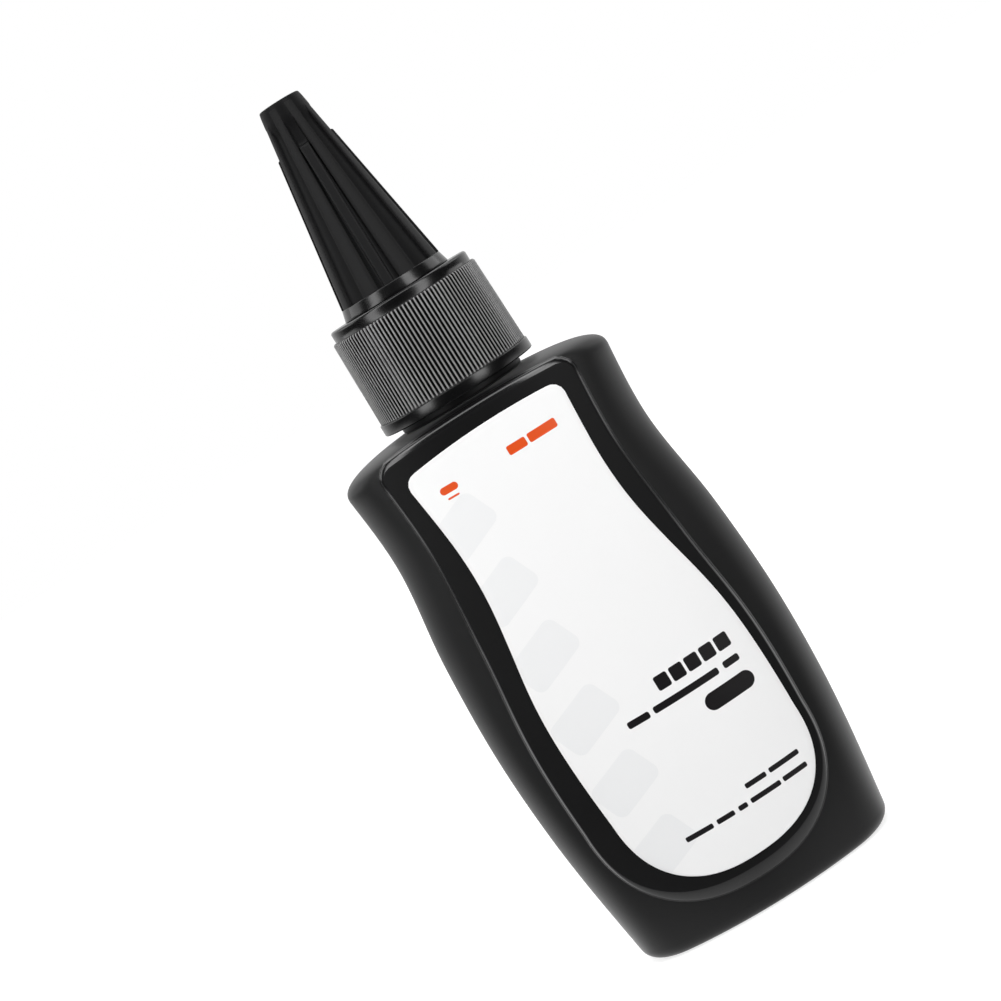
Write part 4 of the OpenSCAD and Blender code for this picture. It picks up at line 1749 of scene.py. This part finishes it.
@dataclass(frozen=True)
class SoftBox:
    """A soft rectangular lamp, in metres: its place, the way it faces, its size and radiance."""

    name: str
    place: Vector
    facing: Vector
    size: tuple[float, float]
    radiance: float

    @classmethod
    def beside(cls, name: str, azimuth: float, distance: float, low: float, high: float,
               width: float, radiance: float) -> "SoftBox":
        """A lamp that stands upright beside the object and faces its axis.

        Args:
            name: Name of the lamp.
            azimuth: Where it stands, in degrees from the front to the right.
            distance: Its distance from the axis.
            low: Height of its lower edge.
            high: Height of its upper edge.
            width: Its width.
            radiance: Its radiance.

        Returns:
            The lamp.
        """
        turn = math.radians(azimuth)
        back = Vector((math.sin(turn), -math.cos(turn), 0))
        place = back * distance + Vector((0, 0, (low + high) / 2))
        return cls(name, place, -back, (width, high - low), radiance)

    @classmethod
    def above(cls, name: str, place: tuple[float, float, float], size: tuple[float, float],
              radiance: float) -> "SoftBox":
        """A lamp that hangs over the object and faces the middle of its body.

        Args:
            name: Name of the lamp.
            place: Where it hangs.
            size: Its width and depth.
            radiance: Its radiance.

        Returns:
            The lamp.
        """
        middle = Vector((0, 0, 0.06))
        return cls(name, Vector(place), middle - Vector(place), size, radiance)

    def make(self) -> None:
        """Makes the lamp, unseen by the camera; its power is pi x area x radiance."""
        lamp = bpy.data.lights.new(self.name, "AREA")
        lamp.shape = "RECTANGLE"
        lamp.size, lamp.size_y = self.size
        lamp.energy = self.radiance * math.pi * self.size[0] * self.size[1]
        holder = bpy.data.objects.new(self.name, lamp)
        holder.location = self.place
        holder.rotation_mode = "QUATERNION"
        holder.rotation_quaternion = self.facing.to_track_quat("-Z", "Y")
        holder.visible_camera = False
        bpy.context.scene.collection.objects.link(holder)


@dataclass
class Studio:
    """Camera, lamps, floor and world; the camera's place is in millimetres and degrees."""

    azimuth: float = 2.3
    aim_z: float = 71.91
    camera_z: float = 112.45
    distance: float = 406.5
    aside: float = 3.45
    field_of_view: float = 20.8267
    roll: float = 32.1

    def camera(self) -> None:
        """Sets the camera up at the photograph's angle, aimed a little beside the axis and rolled."""
        rise = math.atan2(self.camera_z - self.aim_z, self.distance)
        turn, roll = math.radians(self.azimuth), math.radians(self.roll)
        right = Vector((math.cos(turn), math.sin(turn), 0))
        back = Vector((math.sin(turn) * math.cos(rise), -math.cos(turn) * math.cos(rise),
                       math.sin(rise)))
        up = back.cross(right)
        far = math.hypot(self.distance, self.camera_z - self.aim_z)
        target = Vector((0, 0, self.aim_z)) - right * self.aside
        lens = bpy.data.cameras.new("camera")
        lens.sensor_width = lens.sensor_height = 36.0
        lens.sensor_fit = "AUTO"
        lens.angle = math.radians(self.field_of_view)
        lens.clip_start, lens.clip_end = 0.01, 20.0
        camera = bpy.data.objects.new("camera", lens)
        tilted_up = up * math.cos(roll) + right * math.sin(roll)
        tilted_right = right * math.cos(roll) - up * math.sin(roll)
        frame = Matrix((tilted_right, tilted_up, back)).transposed()
        camera.rotation_mode = "QUATERNION"
        camera.rotation_quaternion = frame.to_quaternion()
        camera.location = (target + back * far) * MM
        bpy.context.scene.collection.objects.link(camera)
        bpy.context.scene.camera = camera

    def lamps(self) -> None:
        """Two tall soft boxes beside the camera, two at the sides, a wide one above, one overhead."""
        for box in (
            SoftBox.beside("left box", -47.0, 0.42, 0.045, 0.56, 0.15, 4.4),
            SoftBox.beside("right box", 38.0, 0.42, 0.045, 0.56, 0.15, 4.6),
            SoftBox.beside("left side box", -104.0, 0.6, 0.2, 0.75, 0.4, 1.7),
            SoftBox.beside("right side box", 108.0, 0.6, 0.2, 0.75, 0.4, 1.7),
            SoftBox.above("high box", (0.0, -0.36, 0.72), (0.95, 0.34), 3.3),
            SoftBox.above("top box", (0.0, 0.3, 0.7), (0.8, 0.4), 2.2),
        ):
            box.make()

    @staticmethod
    def room_in_gloss(kit: NodeKit, place: Socket) -> Socket:
        """How bright the floor is in gloss: a white studio, bright behind and dim in front.

        The near floor fades into the look of the world behind it with the distance
        from the object, and a bright oval lies close round its foot.

        Args:
            kit: Helper of the floor's material.
            place: Position on the floor in metres.

        Returns:
            The brightness.
        """
        split = kit.add("ShaderNodeSeparateXYZ")
        kit.link(place, split.inputs[0])
        far = kit.length(place)
        behind = kit.math("DIVIDE", split.outputs[1], far)
        beside = kit.math("DIVIDE", kit.math("ABSOLUTE", split.outputs[0]), far)
        # Dark in front of the object, brightest at its sides and dimmer straight behind it.
        near = kit.math("MULTIPLY", kit.ramp(behind, -0.35, 0.1, 0.03, 1.9),
                        kit.ramp(behind, 0.4, 0.95, 1.0, 0.4))
        distant = kit.ramp(behind, 0.2, 0.8, 0.02, 0.85)
        share = kit.ramp(far, 0.55, 0.85)
        mixed = kit.math("ADD", kit.math("MULTIPLY", near, kit.math("SUBTRACT", 1.0, share)),
                         kit.math("MULTIPLY", distant, share))
        # The oval is twice as wide as deep, as the body's section is.
        oval = kit.add("ShaderNodeVectorMath", operation="MULTIPLY")
        oval.inputs[1].default_value = (0.52, 1.0, 0.0)
        kit.link(place, oval.inputs[0])
        at_foot = kit.ramp(kit.length(oval.outputs["Vector"]), 0.014, 0.052, 1.0, 0.0)
        level = kit.math("ADD", kit.math("MULTIPLY", beside, 0.3), 0.85)
        return kit.math("MAXIMUM", mixed, kit.math("MULTIPLY", at_foot, level))

    def floor(self) -> None:
        """A pale round floor that the camera sees as white apart from the object's shadow.

        To the camera it is a grey floor plus a glow that grows to white away from the
        object, to glossy rays the glow of room_in_gloss, and to all others a plain grey.
        """
        builder = MeshBuilder()
        radius = np.array([2500, 600, 200, 60, 0.5])[:, None]
        index = builder.grid(around(radius, angles(96), -0.05))
        builder.cap(index[-1], up=True)
        material, kit, principled, place = start_material("floor")
        kit.tree.nodes.remove(principled)
        path = kit.add("ShaderNodeLightPath")
        glow = kit.ramp(kit.length(place), 0.1, 0.5, 0.74, 1.0)
        seen = kit.join("ShaderNodeAddShader", kit.shade("ShaderNodeBsdfDiffuse", "Color", grey(0.46)),
                        kit.shade("ShaderNodeEmission", "Strength", glow))
        plain = kit.shade("ShaderNodeBsdfDiffuse", "Color", grey(0.43))
        gloss = kit.shade("ShaderNodeEmission", "Strength", self.room_in_gloss(kit, place))
        unseen = kit.join("ShaderNodeMixShader", path.outputs["Is Glossy Ray"], plain, gloss)
        whole = kit.join("ShaderNodeMixShader", path.outputs["Is Camera Ray"], unseen, seen)
        kit.link(whole, kit.tree.nodes["Material Output"].inputs["Surface"])
        builder.build("floor", [material])

    def world(self) -> None:
        """White to the camera; for light and gloss white behind the object and dim in front of it."""
        world = bpy.data.worlds.new("studio")
        bpy.context.scene.world = world
        world.use_nodes = True
        kit = NodeKit(world.node_tree)
        world.node_tree.nodes.clear()
        path = kit.add("ShaderNodeLightPath")
        split = kit.add("ShaderNodeSeparateXYZ")
        kit.link(kit.add("ShaderNodeTexCoord").outputs["Generated"], split.inputs[0])
        room = kit.mix(kit.ramp(split.outputs[1], 0.2, 0.8), grey(0.02), grey(0.85))
        colour = kit.mix(path.outputs["Is Camera Ray"], room, grey(1.0))
        background = kit.shade("ShaderNodeBackground", "Color", colour)
        kit.link(background, kit.add("ShaderNodeOutputWorld").inputs[0])

    def build(self) -> None:
        """Sets up the whole studio."""
        self.camera()
        self.lamps()
        self.floor()
        self.world()
        bpy.context.scene.view_settings.view_transform = "Standard"


def main() -> None:
    """Builds the pieces in order, puts each on its body and logs its face count."""
    logging.basicConfig(level=logging.INFO, format="%(name)s: %(message)s")
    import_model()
    Studio().build()
    effects = Effects()
    body = BodyForm()
    panel = PanelForm(body)
    pieces = (
        (Bottle(body, panel), "bottle_body", "bottle", "bottle"),
        (Label(panel), "bottle_body", "label", "label"),
        (SealRing(), "seal_body", "seal_ring", "seal"),
        (Collar(), "collar_body", "collar", "cap"),
        (Spout(), "spout_body", "spout", "cap"),
    )
    for maker, rides_on, node, slot in pieces:
        piece = maker.build(effects)
        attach(piece, rides_on)
        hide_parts(node)
        LOG.info("%s: %d faces, in place of %s", piece.name, len(piece.data.polygons), node)


if __name__ == "__main__":
    main()
